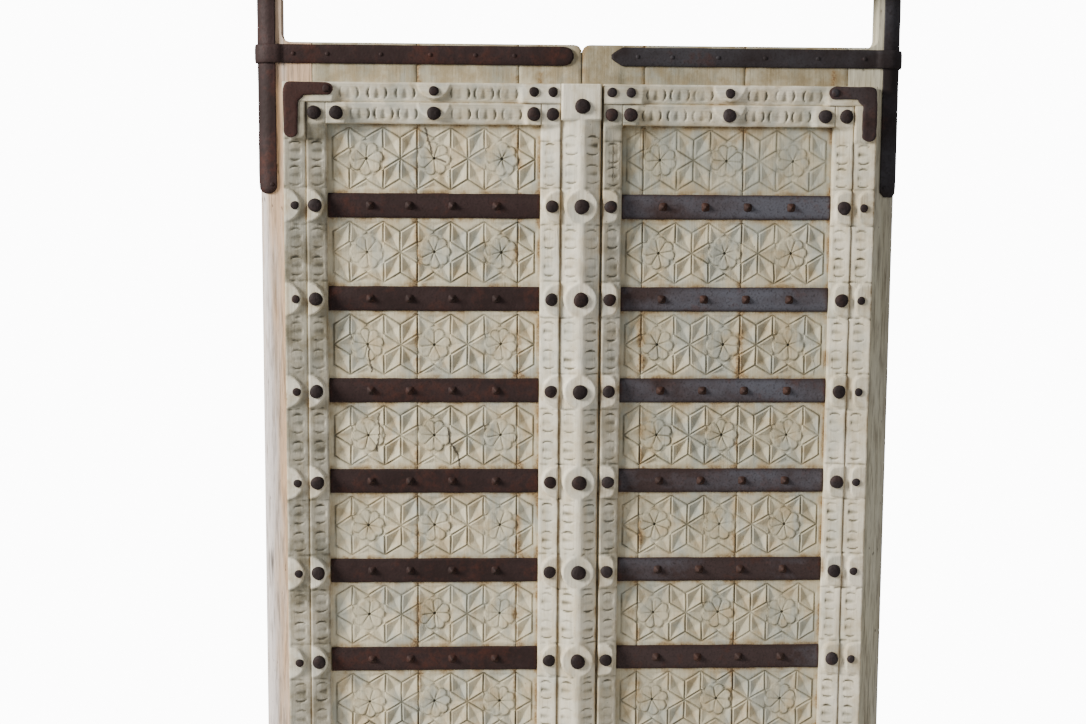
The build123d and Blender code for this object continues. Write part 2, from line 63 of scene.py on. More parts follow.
BAND_COUNT = sum(1 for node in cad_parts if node.startswith("left_band_") and node[-1].isdigit())
BANDS = [box_mm(f"left_band_{place}") for place in range(1, BAND_COUNT + 1)]
LEAF = -box_mm("left_stile")[0][0]
FRONT = -box_mm("left_board_outer")[0][1]
BAND_LEVELS = np.array([(low[2] + high[2]) / 2 for low, high in BANDS])
ROW_PITCH = BAND_LEVELS[0] - BAND_LEVELS[1]
PANEL_LEVELS = np.append(BAND_LEVELS + ROW_PITCH / 2, BAND_LEVELS[-1] - ROW_PITCH / 2)
PANEL = (box_mm("left_inner_strip")[1][0] + LEAF, box_mm("left_meeting_strip")[0][0] + LEAF)
LEAF_BOTTOM = box_mm("left_board_outer")[0][2]
LEAF_TOP = box_mm("left_board_outer")[1][2]
BODY_OF = {"left": "left_leaf", "right": "right_leaf"}
SEED_OF = {"left": 11, "right": 47}
print("leaf width", LEAF, "panel", PANEL, "rows", PANEL_LEVELS)

# %% [markdown]
# Two small tools carry most of the hand-made look: a smooth random field for dents and wavering lines,
# and a soft step for edges that were cut with a chisel and then worn for a century.

# %% Smooth random field and soft step
TABLE = 64
TABLE_SHIFT = 500
SAME = 1e-6


def rough(a, b, size, seed):
    """Smooth noise from -1 to 1: random heights on a square lattice of the given size, S-curve blended."""
    table = np.random.default_rng(seed).uniform(-1, 1, (TABLE, TABLE))
    p, q = np.asarray(a) / size + TABLE_SHIFT, np.asarray(b) / size + TABLE_SHIFT
    i, j = np.floor(p).astype(int), np.floor(q).astype(int)
    s, t = p - i, q - j
    s, t = s * s * (3 - 2 * s), t * t * (3 - 2 * t)
    near = table[i % TABLE, j % TABLE] * (1 - s) + table[(i + 1) % TABLE, j % TABLE] * s
    far = table[i % TABLE, (j + 1) % TABLE] * (1 - s) + table[(i + 1) % TABLE, (j + 1) % TABLE] * s
    return near * (1 - t) + far * t


def soft_step(low, high, value):
    """Smooth rise from 0 at low to 1 at high."""
    share = np.clip((value - low) / (high - low), 0, 1)
    return share * share * (3 - 2 * share)


def bump(distance, width):
    """Bell curve: 1 at no distance, falling away over the width."""
    return np.exp(-(distance / width) ** 2)


def runs(start, *spans):
    """Cutting lines along one axis: even steps up to each span's end, one span after another."""
    lines = [np.array([start])]
    for end, size in spans:
        if end - start > SAME:
            count = max(1, int(round((end - start) / size)))
            lines.append(np.linspace(start, end, count + 1)[1:])
            start = end
    return np.concatenate(lines)


print("field check", rough(np.array([3.0]), np.array([4.0]), 10, 1))

# %% [markdown]
# Every finish is a node tree. Writing the maths as Python keeps a tree readable: a Value wraps a socket,
# and an expression such as 1 - stain adds the Math nodes for it. Colours go through Mix nodes instead,
# because a Math node would turn them grey.

# %% A finish and the values in it
class Value:
    """One output socket; arithmetic on it adds Math nodes to the same finish."""

    def __init__(self, finish, node, output):
        self.finish, self.node, self.socket = finish, node, node.outputs[output]

    def math(self, operation, first, second):
        return self.finish.node("Math", {0: first, 1: second}, operation=operation, use_clamp=False)

    def __add__(self, other):
        return self.math("ADD", self, other)

    def __radd__(self, other):
        return self.math("ADD", other, self)

    def __sub__(self, other):
        return self.math("SUBTRACT", self, other)

    def __rsub__(self, other):
        return self.math("SUBTRACT", other, self)

    def __mul__(self, other):
        return self.math("MULTIPLY", self, other)

    def __rmul__(self, other):
        return self.math("MULTIPLY", other, self)

    def between(self, low, high):
        """0 below low, 1 above high, straight between."""
        return self.finish.node("MapRange", {0: self, 1: low, 2: high}, clamp=True)

    def other(self, output):
        """Another output of the same node."""
        return Value(self.finish, self.node, output)


class Finish:
    """One material with a single principled shader."""

    def __init__(self, name, **constants):
        self.material = bpy.data.materials.new(name)
        self.material.use_nodes = True
        self.tree = self.material.node_tree
        self.shader = self.tree.nodes["Principled BSDF"]
        for socket, value in constants.items():
            self.shader.inputs[socket.replace("_", " ")].default_value = value
        self.place = self.node("TexCoord", output=3)

    def node(self, kind, inputs=None, output=0, **settings):
        """Add a node: settings first, then a value or a link on each socket; gives one output."""
        made = self.tree.nodes.new("ShaderNode" + kind)
        for key, value in settings.items():
            setattr(made, key, value)
        for key, value in (inputs or {}).items():
            self.link(made.inputs[key], value)
        return Value(self, made, output)

    def link(self, socket, value):
        """Link a Value to a socket, or set the socket to a plain number or colour."""
        if isinstance(value, Value):
            self.tree.links.new(value.socket, socket)
        elif isinstance(value, tuple) and len(value) == 3 and socket.type == "RGBA":
            socket.default_value = (*value, 1)
        else:
            socket.default_value = value

    def noise(self, scale, detail=4.0, stretch=(1, 1, 1), rough_share=0.55):
        """Fractal noise on Object coordinates, stretched along the grain."""
        place = self.node("Mapping", {"Vector": self.place, "Scale": stretch})
        return self.node("TexNoise", {"Vector": place, "Scale": scale, "Detail": detail,
                                      "Roughness": rough_share})

    def near_line(self, x, z, start, end, width):
        """1 on the straight line between two places in x and z, falling to 0 at the width beside it."""
        run = (end[0] - start[0], end[1] - start[1])
        off_x, off_z = x - start[0], z - start[1]
        along = (off_x * run[0] + off_z * run[1]) * (1 / (run[0] ** 2 + run[1] ** 2))
        share = along.between(0.0, 1.0)
        off_x, off_z = off_x - share * run[0], off_z - share * run[1]
        return 1 - (off_x * off_x + off_z * off_z).between((0.4 * width) ** 2, width ** 2)

    def mix(self, share, first, second):
        """Blend of two colours."""
        return self.node("Mix", {0: share, 6: first, 7: second}, 2, data_type="RGBA")

    def surface(self, colour, roughness, height, depth, metallic=None):
        """Feed the shader: colour, roughness and a bump of the given depth in metres."""
        self.link(self.shader.inputs["Base Color"], colour)
        self.link(self.shader.inputs["Roughness"], roughness)
        if metallic is not None:
            self.link(self.shader.inputs["Metallic"], metallic)
        raised = self.node("Bump", {"Strength": 1.0, "Distance": depth, "Height": height})
        self.link(self.shader.inputs["Normal"], raised)


print("finish class ready")

# %% [markdown]
# Whitewash is a thin coat of lime over grey, weathered wood. It is palest on flat faces, rubbed through to
# tan along the grain, greenish grey in the cuts from dirt and from painted shade, and stained with rust near
# the iron. Each carved mesh carries a colour attribute called finish: red says how much grime and painted
# shade lie there, green how much rust has run there, and blue how bare the wood is worn. An image could be
# laid on instead, but noise and these marks stay sharp at any distance and follow the carving. The long
# cracks of the left leaf are straight lines between two places, made ragged by the noise.

# %% Whitewashed wood
UPRIGHT_GRAIN = (1, 1, 0.06)
LEVEL_GRAIN = (0.06, 1, 1)
CHECK_SHARE = 0.3
CRACK_WIDTH = 0.0022
COOL_GREY = (0.36, 0.385, 0.345)
FIBRE_BROWN = (0.21, 0.18, 0.125)
SHADE_AND_GRIME_OLIVE = (0.1, 0.09, 0.056)
STAIN_TAN = (0.34, 0.225, 0.1)
STAIN_CORE = (0.13, 0.07, 0.036)
SPLIT_BROWN = (0.06, 0.047, 0.032)
PINHOLE_BROWN = (0.09, 0.075, 0.05)
LIME_RELIEF = 0.0011


def check_grain(grain):
    """Stretch of the long drying cracks: the grain, drawn out further along the wood."""
    return tuple(share if share == 1 else share * CHECK_SHARE for share in grain)


def whitewash(name, grain, mottle, lime, shade, worn, cracks=()):
    """Lime over weathered wood, as layers of mixed colour: lime and shade by clouds, worn wood by blotches
    and streaks, then grime with painted shade, stains, splits and pinholes.

    grain is the stretch of the streaks, mottle the share of blotches, and the colours are linear.
    """
    wood = Finish(name, Specular_IOR_Level=0.25)
    marks = wood.node("Attribute", output="Color", attribute_name="finish")
    grime_and_shade = wood.node("SeparateColor", {0: marks})
    rust, bare = grime_and_shade.other(1), grime_and_shade.other(2)
    cloud = wood.noise(5.0, 4.0)
    blotch = wood.noise(32.0, 5.0, rough_share=0.62)
    cool = wood.noise(19.0, 4.0, (1, 1, 0.6))
    streak = wood.noise(75.0, 5.0, grain)
    fibre = wood.noise(260.0, 4.0, grain, 0.65)
    speck = wood.noise(300.0, 3.0)
    check = wood.noise(60.0, 2.0, check_grain(grain), 0.4)
    colour = wood.mix(cloud.between(0.4, 0.62) * (0.85 * mottle), lime, shade)
    colour = wood.mix(blotch.between(0.46, 0.64) * (0.75 * mottle), colour, worn)
    colour = wood.mix(cool.between(0.5, 0.62) * (0.65 * mottle), colour, COOL_GREY)
    rubbed = streak.between(0.52, 0.72) * 0.4 + bare * blotch.between(0.35, 0.6)
    colour = wood.mix(rubbed.between(0.0, 1.0), colour, worn)
    colour = wood.mix(fibre.between(0.5, 0.8) * 0.4, colour, FIBRE_BROWN)
    # Grime and painted shade: the red mark darkens the wash towards olive, in the cuts as dirt and as their
    # shade, and on the strips that face away from the light.
    dirt_and_shade = (grime_and_shade * (blotch.between(0.25, 0.65) * 0.7 + 0.6)).between(0.06, 0.95)
    colour = wood.mix(dirt_and_shade * 0.85, colour, SHADE_AND_GRIME_OLIVE)
    stain = (rust * (blotch.between(0.36, 0.6) * 1.5)).between(0.08, 0.9)
    colour = wood.mix(stain * 0.75, colour, STAIN_TAN)
    colour = wood.mix(stain.between(0.45, 1.0) * speck.between(0.4, 0.6) * 0.75, colour, STAIN_CORE)
    split = (1 - ((check - 0.5) * (check - 0.5)).between(0.0, 0.00004)) * cloud.between(0.6, 0.66)
    spot = wood.node("SeparateXYZ", {0: wood.place})
    wander = spot + ((blotch - 0.5) * 0.022 + (speck - 0.5) * 0.003)
    for start, end in cracks:
        split = split + wood.near_line(wander, spot.other(2), start, end, CRACK_WIDTH) * 1.4
    colour = wood.mix(split * 0.6, colour, SPLIT_BROWN)
    pinhole = speck.between(0.7, 0.74) * 0.75
    colour = wood.mix(pinhole, colour, PINHOLE_BROWN)
    height = streak * 0.5 + fibre * 0.55 + speck * 0.25 + blotch * 0.5 - split * 0.7 - pinhole * 0.4
    wood.surface(colour, 0.72 + fibre * 0.2, height, LIME_RELIEF)
    return wood.material


LIME = {"left": (0.85, 0.78, 0.63), "right": (0.83, 0.75, 0.595)}
PLANK_LIME = {"left": (0.68, 0.6, 0.425), "right": (0.57, 0.505, 0.36)}
SHADE = {"left": (0.56, 0.5, 0.355), "right": (0.51, 0.455, 0.315)}
WORN = {"left": (0.5, 0.385, 0.22), "right": (0.46, 0.35, 0.195)}
CRACKS = [(0, (-16, 57), (-2, 10)), (0, (0, 2), (23, -6)), (2, (-127, -3), (-120, -53)),
          (3, (24, 14), (52, -62)), (3, (-108, 42), (-111, -31))]


def crack_line(row, *ends):
    """Ends of a crack in metres, from places in millimetres about the middle of a panel of the left leaf."""
    middle = np.array([sum(PANEL) / 2 - LEAF, PANEL_LEVELS[row]])
    return [tuple(float(value) for value in (middle + end) * MM) for end in ends]


MOTTLE = {"upright": 0.6, "level": 0.8, "plank": 1.0}
CRACKS_OF = {"left": [crack_line(*crack) for crack in CRACKS], "right": []}
WHITEWASH = {}
for leaf in BODY_OF:
    colours = (LIME[leaf], SHADE[leaf], WORN[leaf])
    for kind, grain in (("upright", UPRIGHT_GRAIN), ("level", LEVEL_GRAIN)):
        WHITEWASH[leaf, kind] = whitewash(f"whitewash_{kind}_{leaf}", grain, MOTTLE[kind], *colours)
    WHITEWASH[leaf, "plank"] = whitewash(f"whitewash_plank_{leaf}", UPRIGHT_GRAIN, MOTTLE["plank"],
                                         PLANK_LIME[leaf], *colours[1:], CRACKS_OF[leaf])
print("whitewash", sorted(WHITEWASH))

# %% [markdown]
# The hanging stiles, the ledges behind, the backs of the planks and the frame timbers were never limed as
# thickly. The left stile is pinkish tan, the right one grey olive, both with long cracks along the grain.
# One function makes all of them: only the two tones, the grain and the traces of lime differ.

# %% Bare weathered wood
LIME_TRACE = (0.6, 0.56, 0.47)
FIBRE_DARK = (0.14, 0.1, 0.065)
CHECK_DARK = (0.04, 0.03, 0.02)
NICK_DARK = (0.07, 0.05, 0.036)
WOOD_RELIEF = 0.0012
TURN_RUN = 0.036


def bare_wood(name, grain, pale, dark, lime_share, turn=None):
    """Weathered timber: two tones in long streaks, traces of lime, long cracks and short nicks.

    turn gives the x in metres between which the first tone goes over into the second.
    """
    wood = Finish(name, Specular_IOR_Level=0.25)
    cloud = wood.noise(4.0, 4.0)
    streak = wood.noise(34.0, 6.0, grain, 0.6)
    fibre = wood.noise(240.0, 4.0, grain, 0.65)
    check = wood.noise(40.0, 2.0, check_grain(grain), 0.4)
    nick = wood.noise(120.0, 2.0, np.maximum(grain, CHECK_SHARE).tolist()).between(0.7, 0.75)
    tone = streak
    if turn:
        across = wood.node("SeparateXYZ", {0: wood.place})
        tone = streak + (across.between(*turn) * 0.26 - 0.13)
    colour = wood.mix(tone.between(0.4, 0.6), pale, dark)
    colour = wood.mix(cloud.between(0.45, 0.7) * lime_share, colour, LIME_TRACE)
    colour = wood.mix(fibre.between(0.46, 0.72) * 0.72, colour, FIBRE_DARK)
    split = (1 - ((check - 0.5) * (check - 0.5)).between(0.0, 0.00008)) * cloud.between(0.52, 0.62)
    colour = wood.mix(split * 0.75, colour, CHECK_DARK)
    colour = wood.mix(nick * 0.7, colour, NICK_DARK)
    height = streak * 0.5 + fibre * 0.6 - split - nick * 0.5
    wood.surface(colour, 0.74 + fibre * 0.2, height, WOOD_RELIEF)
    return wood.material


STILE_TURN = (-LEAF * MM, -LEAF * MM + TURN_RUN)
STILE_WOOD = {
    "left": bare_wood("stile_wood_left", UPRIGHT_GRAIN, (0.72, 0.64, 0.6), (0.68, 0.47, 0.31), 0.15,
                      STILE_TURN),
    "right": bare_wood("stile_wood_right", UPRIGHT_GRAIN, (0.68, 0.635, 0.485), (0.46, 0.415, 0.29), 0.4)}
LEDGE_WOOD = bare_wood("ledge_wood", LEVEL_GRAIN, (0.42, 0.34, 0.24), (0.24, 0.175, 0.115), 0.15)
BACK_WOOD = bare_wood("back_wood", UPRIGHT_GRAIN, (0.42, 0.345, 0.25), (0.25, 0.19, 0.125), 0.25)
FRAME_WOOD = bare_wood("frame_wood", LEVEL_GRAIN, (0.43, 0.34, 0.235), (0.25, 0.175, 0.11), 0.3)
print("bare wood ready")

# %% [markdown]
# The ironwork is hand forged: near-black brown scale, red rust in patches, and broad rubbed patches that are
# more metallic and carry a painted bluish reflection in their colour, on the right leaf mostly high up. The
# long edges of the bands get painted shade. It is only half metallic, because scale and rust cover most of
# the metal. A painted map would do as well, but noise in layers needs no unwrapping of the pieces.

# %% Forged iron
PIT_DARK = (0.016, 0.01, 0.008)
EDGE_SHADE = (0.014, 0.0085, 0.0075)
# Levels in metres over which the rubbed patches, and the painted reflection on them, grow on the right leaf.
REFLECTION_LEVELS = (0.85, 1.5)
BOSS_RELIEF = 0.0022


def iron(name, scale_colour, rust_colour, reflection_colour, rust_low, sheen_share, relief=0.0012, rise=None):
    """Scaled iron: broad rubbed patches with a painted reflection in their colour, more of them higher up
    where rise gives two levels in metres, rust in spots and along the rims, dark pits and painted shade along
    the long edges."""
    metal = Finish(name, Specular_IOR_Level=0.22)
    rim = metal.node("SeparateColor", {0: metal.node("Attribute", output="Color", attribute_name="finish")})
    broad = metal.noise(4.5, 3.0, (1, 1, 2))
    patch = metal.noise(14.0, 6.0)
    mottle = metal.noise(80.0, 5.0)
    pit = metal.noise(240.0, 4.0)
    rubbed_and_reflection_field = broad * 0.85 + mottle * 0.15
    if rise:
        level = metal.node("SeparateXYZ", {0: metal.place}, 2)
        rubbed_and_reflection_field = rubbed_and_reflection_field + level.between(*rise) * 0.26 - 0.15
    rubbed_and_reflection = rubbed_and_reflection_field.between(0.4, 0.62)
    # Painted reflection: a lighter colour, bluish on the right leaf, mixed in over the rubbed patches.
    colour = metal.mix(rubbed_and_reflection, scale_colour, reflection_colour)
    spots = (patch * 0.6 + mottle * 0.4).between(rust_low, rust_low + 0.16)
    rust = (spots + rim * mottle.between(0.3, 0.6)).between(0, 1)
    colour = metal.mix(rust * 0.8, colour, rust_colour)
    colour = metal.mix(pit.between(0.52, 0.72) * 0.6, colour, PIT_DARK)
    # Painted shade along the long edges of the bands, from the green channel of their marks.
    colour = metal.mix(rim.other(1) * 0.6, colour, EDGE_SHADE)
    rubbed = (1 - rust) * rubbed_and_reflection * sheen_share
    height = mottle * 0.6 + pit * 0.4 + patch * 0.4
    metal.surface(colour, 0.64 - rubbed * 0.3 + pit * 0.15, height, relief, rubbed)
    return metal.material


# The third colour of each iron is its painted reflection.
IRON = {
    "left": iron("iron_brown", (0.021, 0.0098, 0.0085), (0.06, 0.018, 0.011), (0.044, 0.025, 0.0235),
                 0.5, 0.3),
    "right": iron("iron_blue_reflection", (0.042, 0.0255, 0.024), (0.068, 0.024, 0.015), (0.12, 0.118, 0.138),
                  0.55, 0.5, rise=REFLECTION_LEVELS)}
STRAP_IRON = {
    "left": IRON["left"],
    "right": iron("iron_dark", (0.018, 0.012, 0.0118), (0.05, 0.018, 0.012), (0.05, 0.046, 0.051),
                  0.55, 0.3)}
BOSS_IRON = {
    "left": iron("boss_brown", (0.014, 0.0082, 0.0076), (0.038, 0.0175, 0.014), (0.026, 0.0175, 0.017),
                 0.5, 0.1, BOSS_RELIEF),
    "right": iron("boss_dark", (0.017, 0.0105, 0.0102), (0.044, 0.019, 0.0145), (0.036, 0.027, 0.028),
                  0.5, 0.1, BOSS_RELIEF)}
STUD_IRON = {
    "left": iron("stud_brown", (0.021, 0.0105, 0.009), (0.055, 0.019, 0.012), (0.03, 0.0175, 0.016),
                 0.47, 0.3),
    "right": iron("stud_rust", (0.029, 0.014, 0.0112), (0.058, 0.0235, 0.0155), (0.04, 0.0245, 0.0215),
                  0.46, 0.25)}
PLATE_IRON = {
    "left": iron("plate_red", (0.042, 0.017, 0.0135), (0.085, 0.03, 0.019), (0.055, 0.031, 0.027),
                 0.5, 0.1),
    "right": iron("plate_dark", (0.027, 0.014, 0.0125), (0.056, 0.022, 0.0165), (0.062, 0.049, 0.05),
                  0.5, 0.2)}
print("iron ready")

# %% [markdown]
# A mesh is filled straight from arrays: all corners of all faces in one list, and where each face starts.
# The mirror image of a shape is inside out, so the right leaf's faces are listed the other way round.

# %% Fill a mesh and hang it on its leaf
def grid_faces(rows, columns, closed=False):
    """Quads of a grid of points, rows upwards and columns to the right.

    closed joins the last column to the first.
    """
    span = columns if closed else columns - 1
    row, column = np.meshgrid(np.arange(rows - 1), np.arange(span), indexing="ij")
    following = (column + 1) % columns
    corners = [row * columns + column, row * columns + following,
               (row + 1) * columns + following, (row + 1) * columns + column]
    return np.stack(corners, -1).reshape(-1, 4)


def put(leaf, name, node, points, faces, material, marks=None):
    """Make a leaf's piece, in place of a CAD node, from points in mm and lists of (faces, smooth).

    marks is the colour attribute of the first points; the points after them get zeros.
    """
    mirrored, full_name = leaf == "right", f"{leaf}_{name}"
    points = np.asarray(points, float) * (-MM if mirrored else MM, MM, MM)
    corners = [part[:, ::-1] if mirrored else part for part, smooth in faces]
    sizes = np.concatenate([np.full(len(part), part.shape[1]) for part in corners])
    smooth = np.concatenate([np.full(len(part), flag) for part, flag in faces])
    loops = np.concatenate([part.ravel() for part in corners])
    mesh = bpy.data.meshes.new(full_name)
    mesh.vertices.add(len(points))
    mesh.vertices.foreach_set("co", points.astype(np.float32).ravel())
    mesh.loops.add(len(loops))
    mesh.loops.foreach_set("vertex_index", loops.astype(np.int32))
    mesh.polygons.add(len(sizes))
    mesh.polygons.foreach_set("loop_start", np.append(0, np.cumsum(sizes)[:-1]).astype(np.int32))
    mesh.polygons.foreach_set("use_smooth", smooth.astype(bool))
    if marks is not None:
        values = np.zeros((len(points), 4), np.float32)
        values[:len(marks), :3] = marks
        mesh.attributes.new("finish", "FLOAT_COLOR", "POINT").data.foreach_set("color", values.ravel())
    mesh.update(calc_edges=True)
    mesh.validate()
    mesh.materials.append(material)
    piece = bpy.data.objects.new(full_name, mesh)
    bpy.context.scene.collection.objects.link(piece)
    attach(piece, BODY_OF[leaf])
    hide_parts(f"{leaf}_{node}")
    return piece


def slab(x, front, z, back):
    """Closed slab: a grid of front points, a wall from its rim to the back, and a flat back."""
    rows, columns = front.shape
    grid = np.stack([x, front, z], -1).reshape(-1, 3)
    index = np.arange(rows * columns).reshape(rows, columns)
    rim = np.concatenate([index[0], index[1:, -1], index[-1, -2::-1], index[-2:0:-1, 0]])
    wall_start = rows * columns
    wall = grid[rim].copy()
    wall[:, 1] = back
    here = np.arange(len(rim))
    there = (here + 1) % len(rim)
    side = np.stack([rim, wall_start + here, wall_start + there, rim[there]], -1)
    flat = (wall_start + here)[None, ::-1]
    return np.concatenate([grid, wall]), [(grid_faces(rows, columns), True), (side, False), (flat, False)]


print("mesh helpers ready")

# %% [markdown]
# The star panels are the door's main work. A height field on a square grid would leave saw teeth along the
# slanting lines, so the mesh follows the pattern instead. The lines of the stars split a panel into cells:
# triangles, rhombs and one hexagon for each rosette. In each cell the chisel goes deeper with the distance
# from the nearest line, so rings of points, each the outline drawn in towards the centre, give the surface
# exactly. Along the lines themselves runs a narrow V-shaped groove.

# %% Cells of the star pattern
STARS = 3
STAR_SIDE_MARGIN = 10.0
STAR_END_MARGIN = 6.5
PANEL_HALF = ROW_PITCH / 2 - (BANDS[0][1][2] - BANDS[0][0][2]) / 2
STAR_RADIUS = (PANEL[1] - PANEL[0] - 2 * STAR_SIDE_MARGIN) / (2 * STARS)
STAR_HALF_HEIGHT = PANEL_HALF - STAR_END_MARGIN
FIELD_HALF = STARS * STAR_RADIUS
HOLLOW_SHARE = 1 / (2 * np.cos(np.pi / 6))
EDGE_STEP = 4.3
END_STEPS = (0.8, 2.2)


def star_corner(middle, degrees, share):
    """Point of a star at an angle from its centre and at a share of its radius."""
    angle = np.radians(degrees)
    return (middle + STAR_RADIUS * share * np.cos(angle),
            STAR_HALF_HEIGHT / np.sin(np.pi / 3) * share * np.sin(angle))


def star_cells(middle):
    """Outlines round one star, each anticlockwise from the front, with the kind of cut."""
    tips = [star_corner(middle, 60 * turn, 1) for turn in range(6)]
    hollows = [star_corner(middle, 60 * turn + 30, HOLLOW_SHARE) for turn in range(6)]
    bar = hollows[1][1]
    cells = [("point", [hollows[turn - 1], tips[turn], hollows[turn]]) for turn in range(6)]
    for side, upper, hollow, sign in ((0, 1, 0, 1), (3, 2, 2, 1), (3, 4, 3, -1), (0, 5, 5, -1)):
        rhomb = [tips[side], (tips[side][0], sign * bar), tips[upper], hollows[hollow]]
        cells.append(("rhomb", rhomb if sign * (1 if side == 0 else -1) > 0 else rhomb[::-1]))
    cells.append(("half", [hollows[1], tips[1], tips[2]]))
    cells.append(("half", [hollows[4], tips[4], tips[5]]))
    cells.append(("rosette", hollows))
    for side, near, sign in ((0, 1, 1), (3, 2, 1), (3, 4, -1), (0, 5, -1)):
        flat = [(tips[side][0], sign * bar), (tips[side][0], sign * STAR_HALF_HEIGHT), tips[near]]
        cells.append(("flat", flat if sign * (1 if side == 0 else -1) > 0 else flat[::-1]))
    return cells


def side_shares(first, last):
    """Where the points of a side lie: even steps, with fine steps at the ends of a border side."""
    length = np.hypot(*(last - first))
    count = max(2, int(round(length / EDGE_STEP)))
    if abs(first[1] - last[1]) > SAME:
        return np.arange(count) / count
    ends = np.array(END_STEPS) / length
    even = np.linspace(ends[-1], 1 - ends[-1], count - 2)
    return np.concatenate([[0], ends[:-1], even, 1 - ends[:-1][::-1]])


def outline_points(corners):
    """Points along a closed outline."""
    corners = np.asarray(corners, float)
    sides = zip(corners, np.roll(corners, -1, 0))
    pieces = [first + (last - first) * side_shares(first, last)[:, None] for first, last in sides]
    return np.concatenate(pieces)


print("star radius", STAR_RADIUS, "cells a star", len(star_cells(0.0)))

# %% [markdown]
# Each kind of cell has its own fall from the crest beside the groove. Not every side of a cell is a drawn
# line: the points of a star open into the hexagon of the rosette, and nothing is cut along the panel's
# border. In the hexagons petals rise from a low centre to round raised ends, with thin grooves between them
# and a drilled dot in the middle. A sculpting brush could cut all this, but formulas keep every line straight
# and repeat it in every row.

# %% Depth in a cell
RINGS = np.array([0, 1.5, 3.0, 5.2, 8.2, 12.0])
GROOVE_DEPTH = 2.7
GROOVE_HALF = 3.0
FALLS = {"point": 0.4, "rhomb": 0.56, "half": 0.46, "flat": 0.0}
DRAWN_SIDES = {"point": [0, 1], "rhomb": [0, 1, 2, 3], "half": [0, 2], "flat": [2]}
BORDER_SIDE = 1
BORDER_FALL = 0.45
PETAL_REACH = 31.0
PETAL_RINGS = np.array([33.0, 31.7, 30.3, 28.6, 27.0, 25.0, 22.0, 18.5, 15.0, 11.5, 8.0, 5.0, 3.1, 2.2, 1.1])
RING_ROOM = 0.15
GROUND_SINK = 3.3
PETAL_SINK = 5.0
PETAL_SLOPE = 4.6
PETAL_CROWN = 1.1
PETAL_GROOVE = (1.8, 1.2)
DOT_DEPTH = 6.0
DOT_EDGES = (3.2, 2.1)
DOT_GRIME_AND_SHADE_EDGES = (3.6, 2.2)


def side_distances(corners, points):
    """Distance of points from the line of each side of an outline, one column a side, positive inside."""
    run = np.roll(corners, -1, 0) - corners
    off = points[..., None, :] - corners
    return (run[:, 0] * off[..., 1] - run[:, 1] * off[..., 0]) / np.hypot(*run.T)


def rosette_depth(a, b, petals, turn):
    """Depth, and grime with painted shade, of a rosette: wedge petals with round ends, grooves beside them,
    over a low ground.
    """
    radius, angle = np.hypot(a, b), np.arctan2(b, a) - turn
    sector = 2 * np.pi / petals
    off = np.abs((angle + sector / 2) % sector - sector / 2)
    along, aside = radius * np.cos(off), radius * np.sin(off)
    centre = PETAL_REACH / (1 + np.sin(sector / 2))
    width = centre * np.sin(sector / 2)
    inside = np.where(along < centre, along * np.sin(sector / 2) - aside * np.cos(sector / 2),
                      width - np.hypot(along - centre, aside))
    out = radius / PETAL_REACH
    petal = PETAL_SINK - PETAL_SLOPE * np.clip(out, 0, 1) + PETAL_CROWN * (1 - aside / width) * out
    groove = PETAL_GROOVE[0] * bump(inside, PETAL_GROOVE[1]) * (along < centre)
    share = soft_step(-1.0, 0.7, inside)
    dot = DOT_DEPTH * soft_step(*DOT_EDGES, radius)
    depth = share * petal + (1 - share) * GROUND_SINK + groove + dot
    # Grime and painted shade in the grooves beside the petals and in the drilled dot.
    grime_and_shade = np.maximum(bump(inside + 0.4, 1.4), soft_step(*DOT_GRIME_AND_SHADE_EDGES, radius))
    return np.stack([depth, grime_and_shade], -1)


def cut_depth(kind, corners, points):
    """Depth, and grime with painted shade along the groove, of a plain cell: a groove along the drawn sides,
    then a straight fall from them.
    """
    off = side_distances(corners, points)
    line = off[..., DRAWN_SIDES[kind]].min(-1)
    fall = FALLS[kind] * np.maximum(line - GROOVE_HALF, 0)
    if kind == "half":
        fall = np.minimum(fall, BORDER_FALL * off[..., BORDER_SIDE])
    groove = GROOVE_DEPTH * np.maximum(1 - line / GROOVE_HALF, 0)
    # The second value is grime with painted shade along the groove.
    return np.stack([groove + fall, bump(line, 1.7)], -1)


def cell(kind, corners, petals, turn):
    """Points (x, z), values (depth, grime with painted shade) and faces of a cell: rings towards the centre,
    then a cap.
    """
    loop = outline_points(corners)
    corners = np.asarray(corners, float)
    lengths = np.hypot(*(np.roll(corners, -1, 0) - corners).T)
    inradius = (side_distances(corners, corners.mean(0)) * lengths).sum() / lengths.sum()
    weights = np.roll(lengths, -1) if len(corners) == 3 else np.ones(len(corners))
    centre = (corners * weights[:, None]).sum(0) / weights.sum()
    if kind == "rosette":
        rings = centre + (loop - centre) * (1 - RINGS[:3] / inradius)[:, None, None]
        room = np.hypot(*(rings[2] - centre).T)
        limit = room - RING_ROOM * np.arange(1, len(PETAL_RINGS) + 1)[:, None]
        reach = np.minimum(PETAL_RINGS[:, None], limit) / room
        rings = np.concatenate([rings, centre + (rings[2] - centre) * reach[..., None]])
        values = rosette_depth(*(rings - centre).transpose(2, 0, 1), petals, turn)
    else:
        near = RINGS[:3] if kind == "flat" else RINGS[RINGS < inradius * 0.85]
        runs_in = np.append(near, inradius * 0.95)
        rings = centre + (loop - centre) * (1 - runs_in / inradius)[:, None, None]
        values = cut_depth(kind, corners, rings)
    count, around = rings.shape[:2]
    cap = (count - 1) * around + np.arange(around)[None]
    return rings.reshape(-1, 2), values.reshape(-1, 2), grid_faces(count, around, True), cap


print("ring runs", RINGS)

# %% [markdown]
# A plank is a frame of plain quads round its panels, with the cells dropped into the openings. Frame and
# cells meet at the same points, so points at one place are merged and the front is a single skin. Wavering
# lines, wear and eased joints are then added as whole-array moves of that skin. A displaced plane would be
# quicker to set up, but needs far more faces for the same sharp lines. The back takes the bare wood.

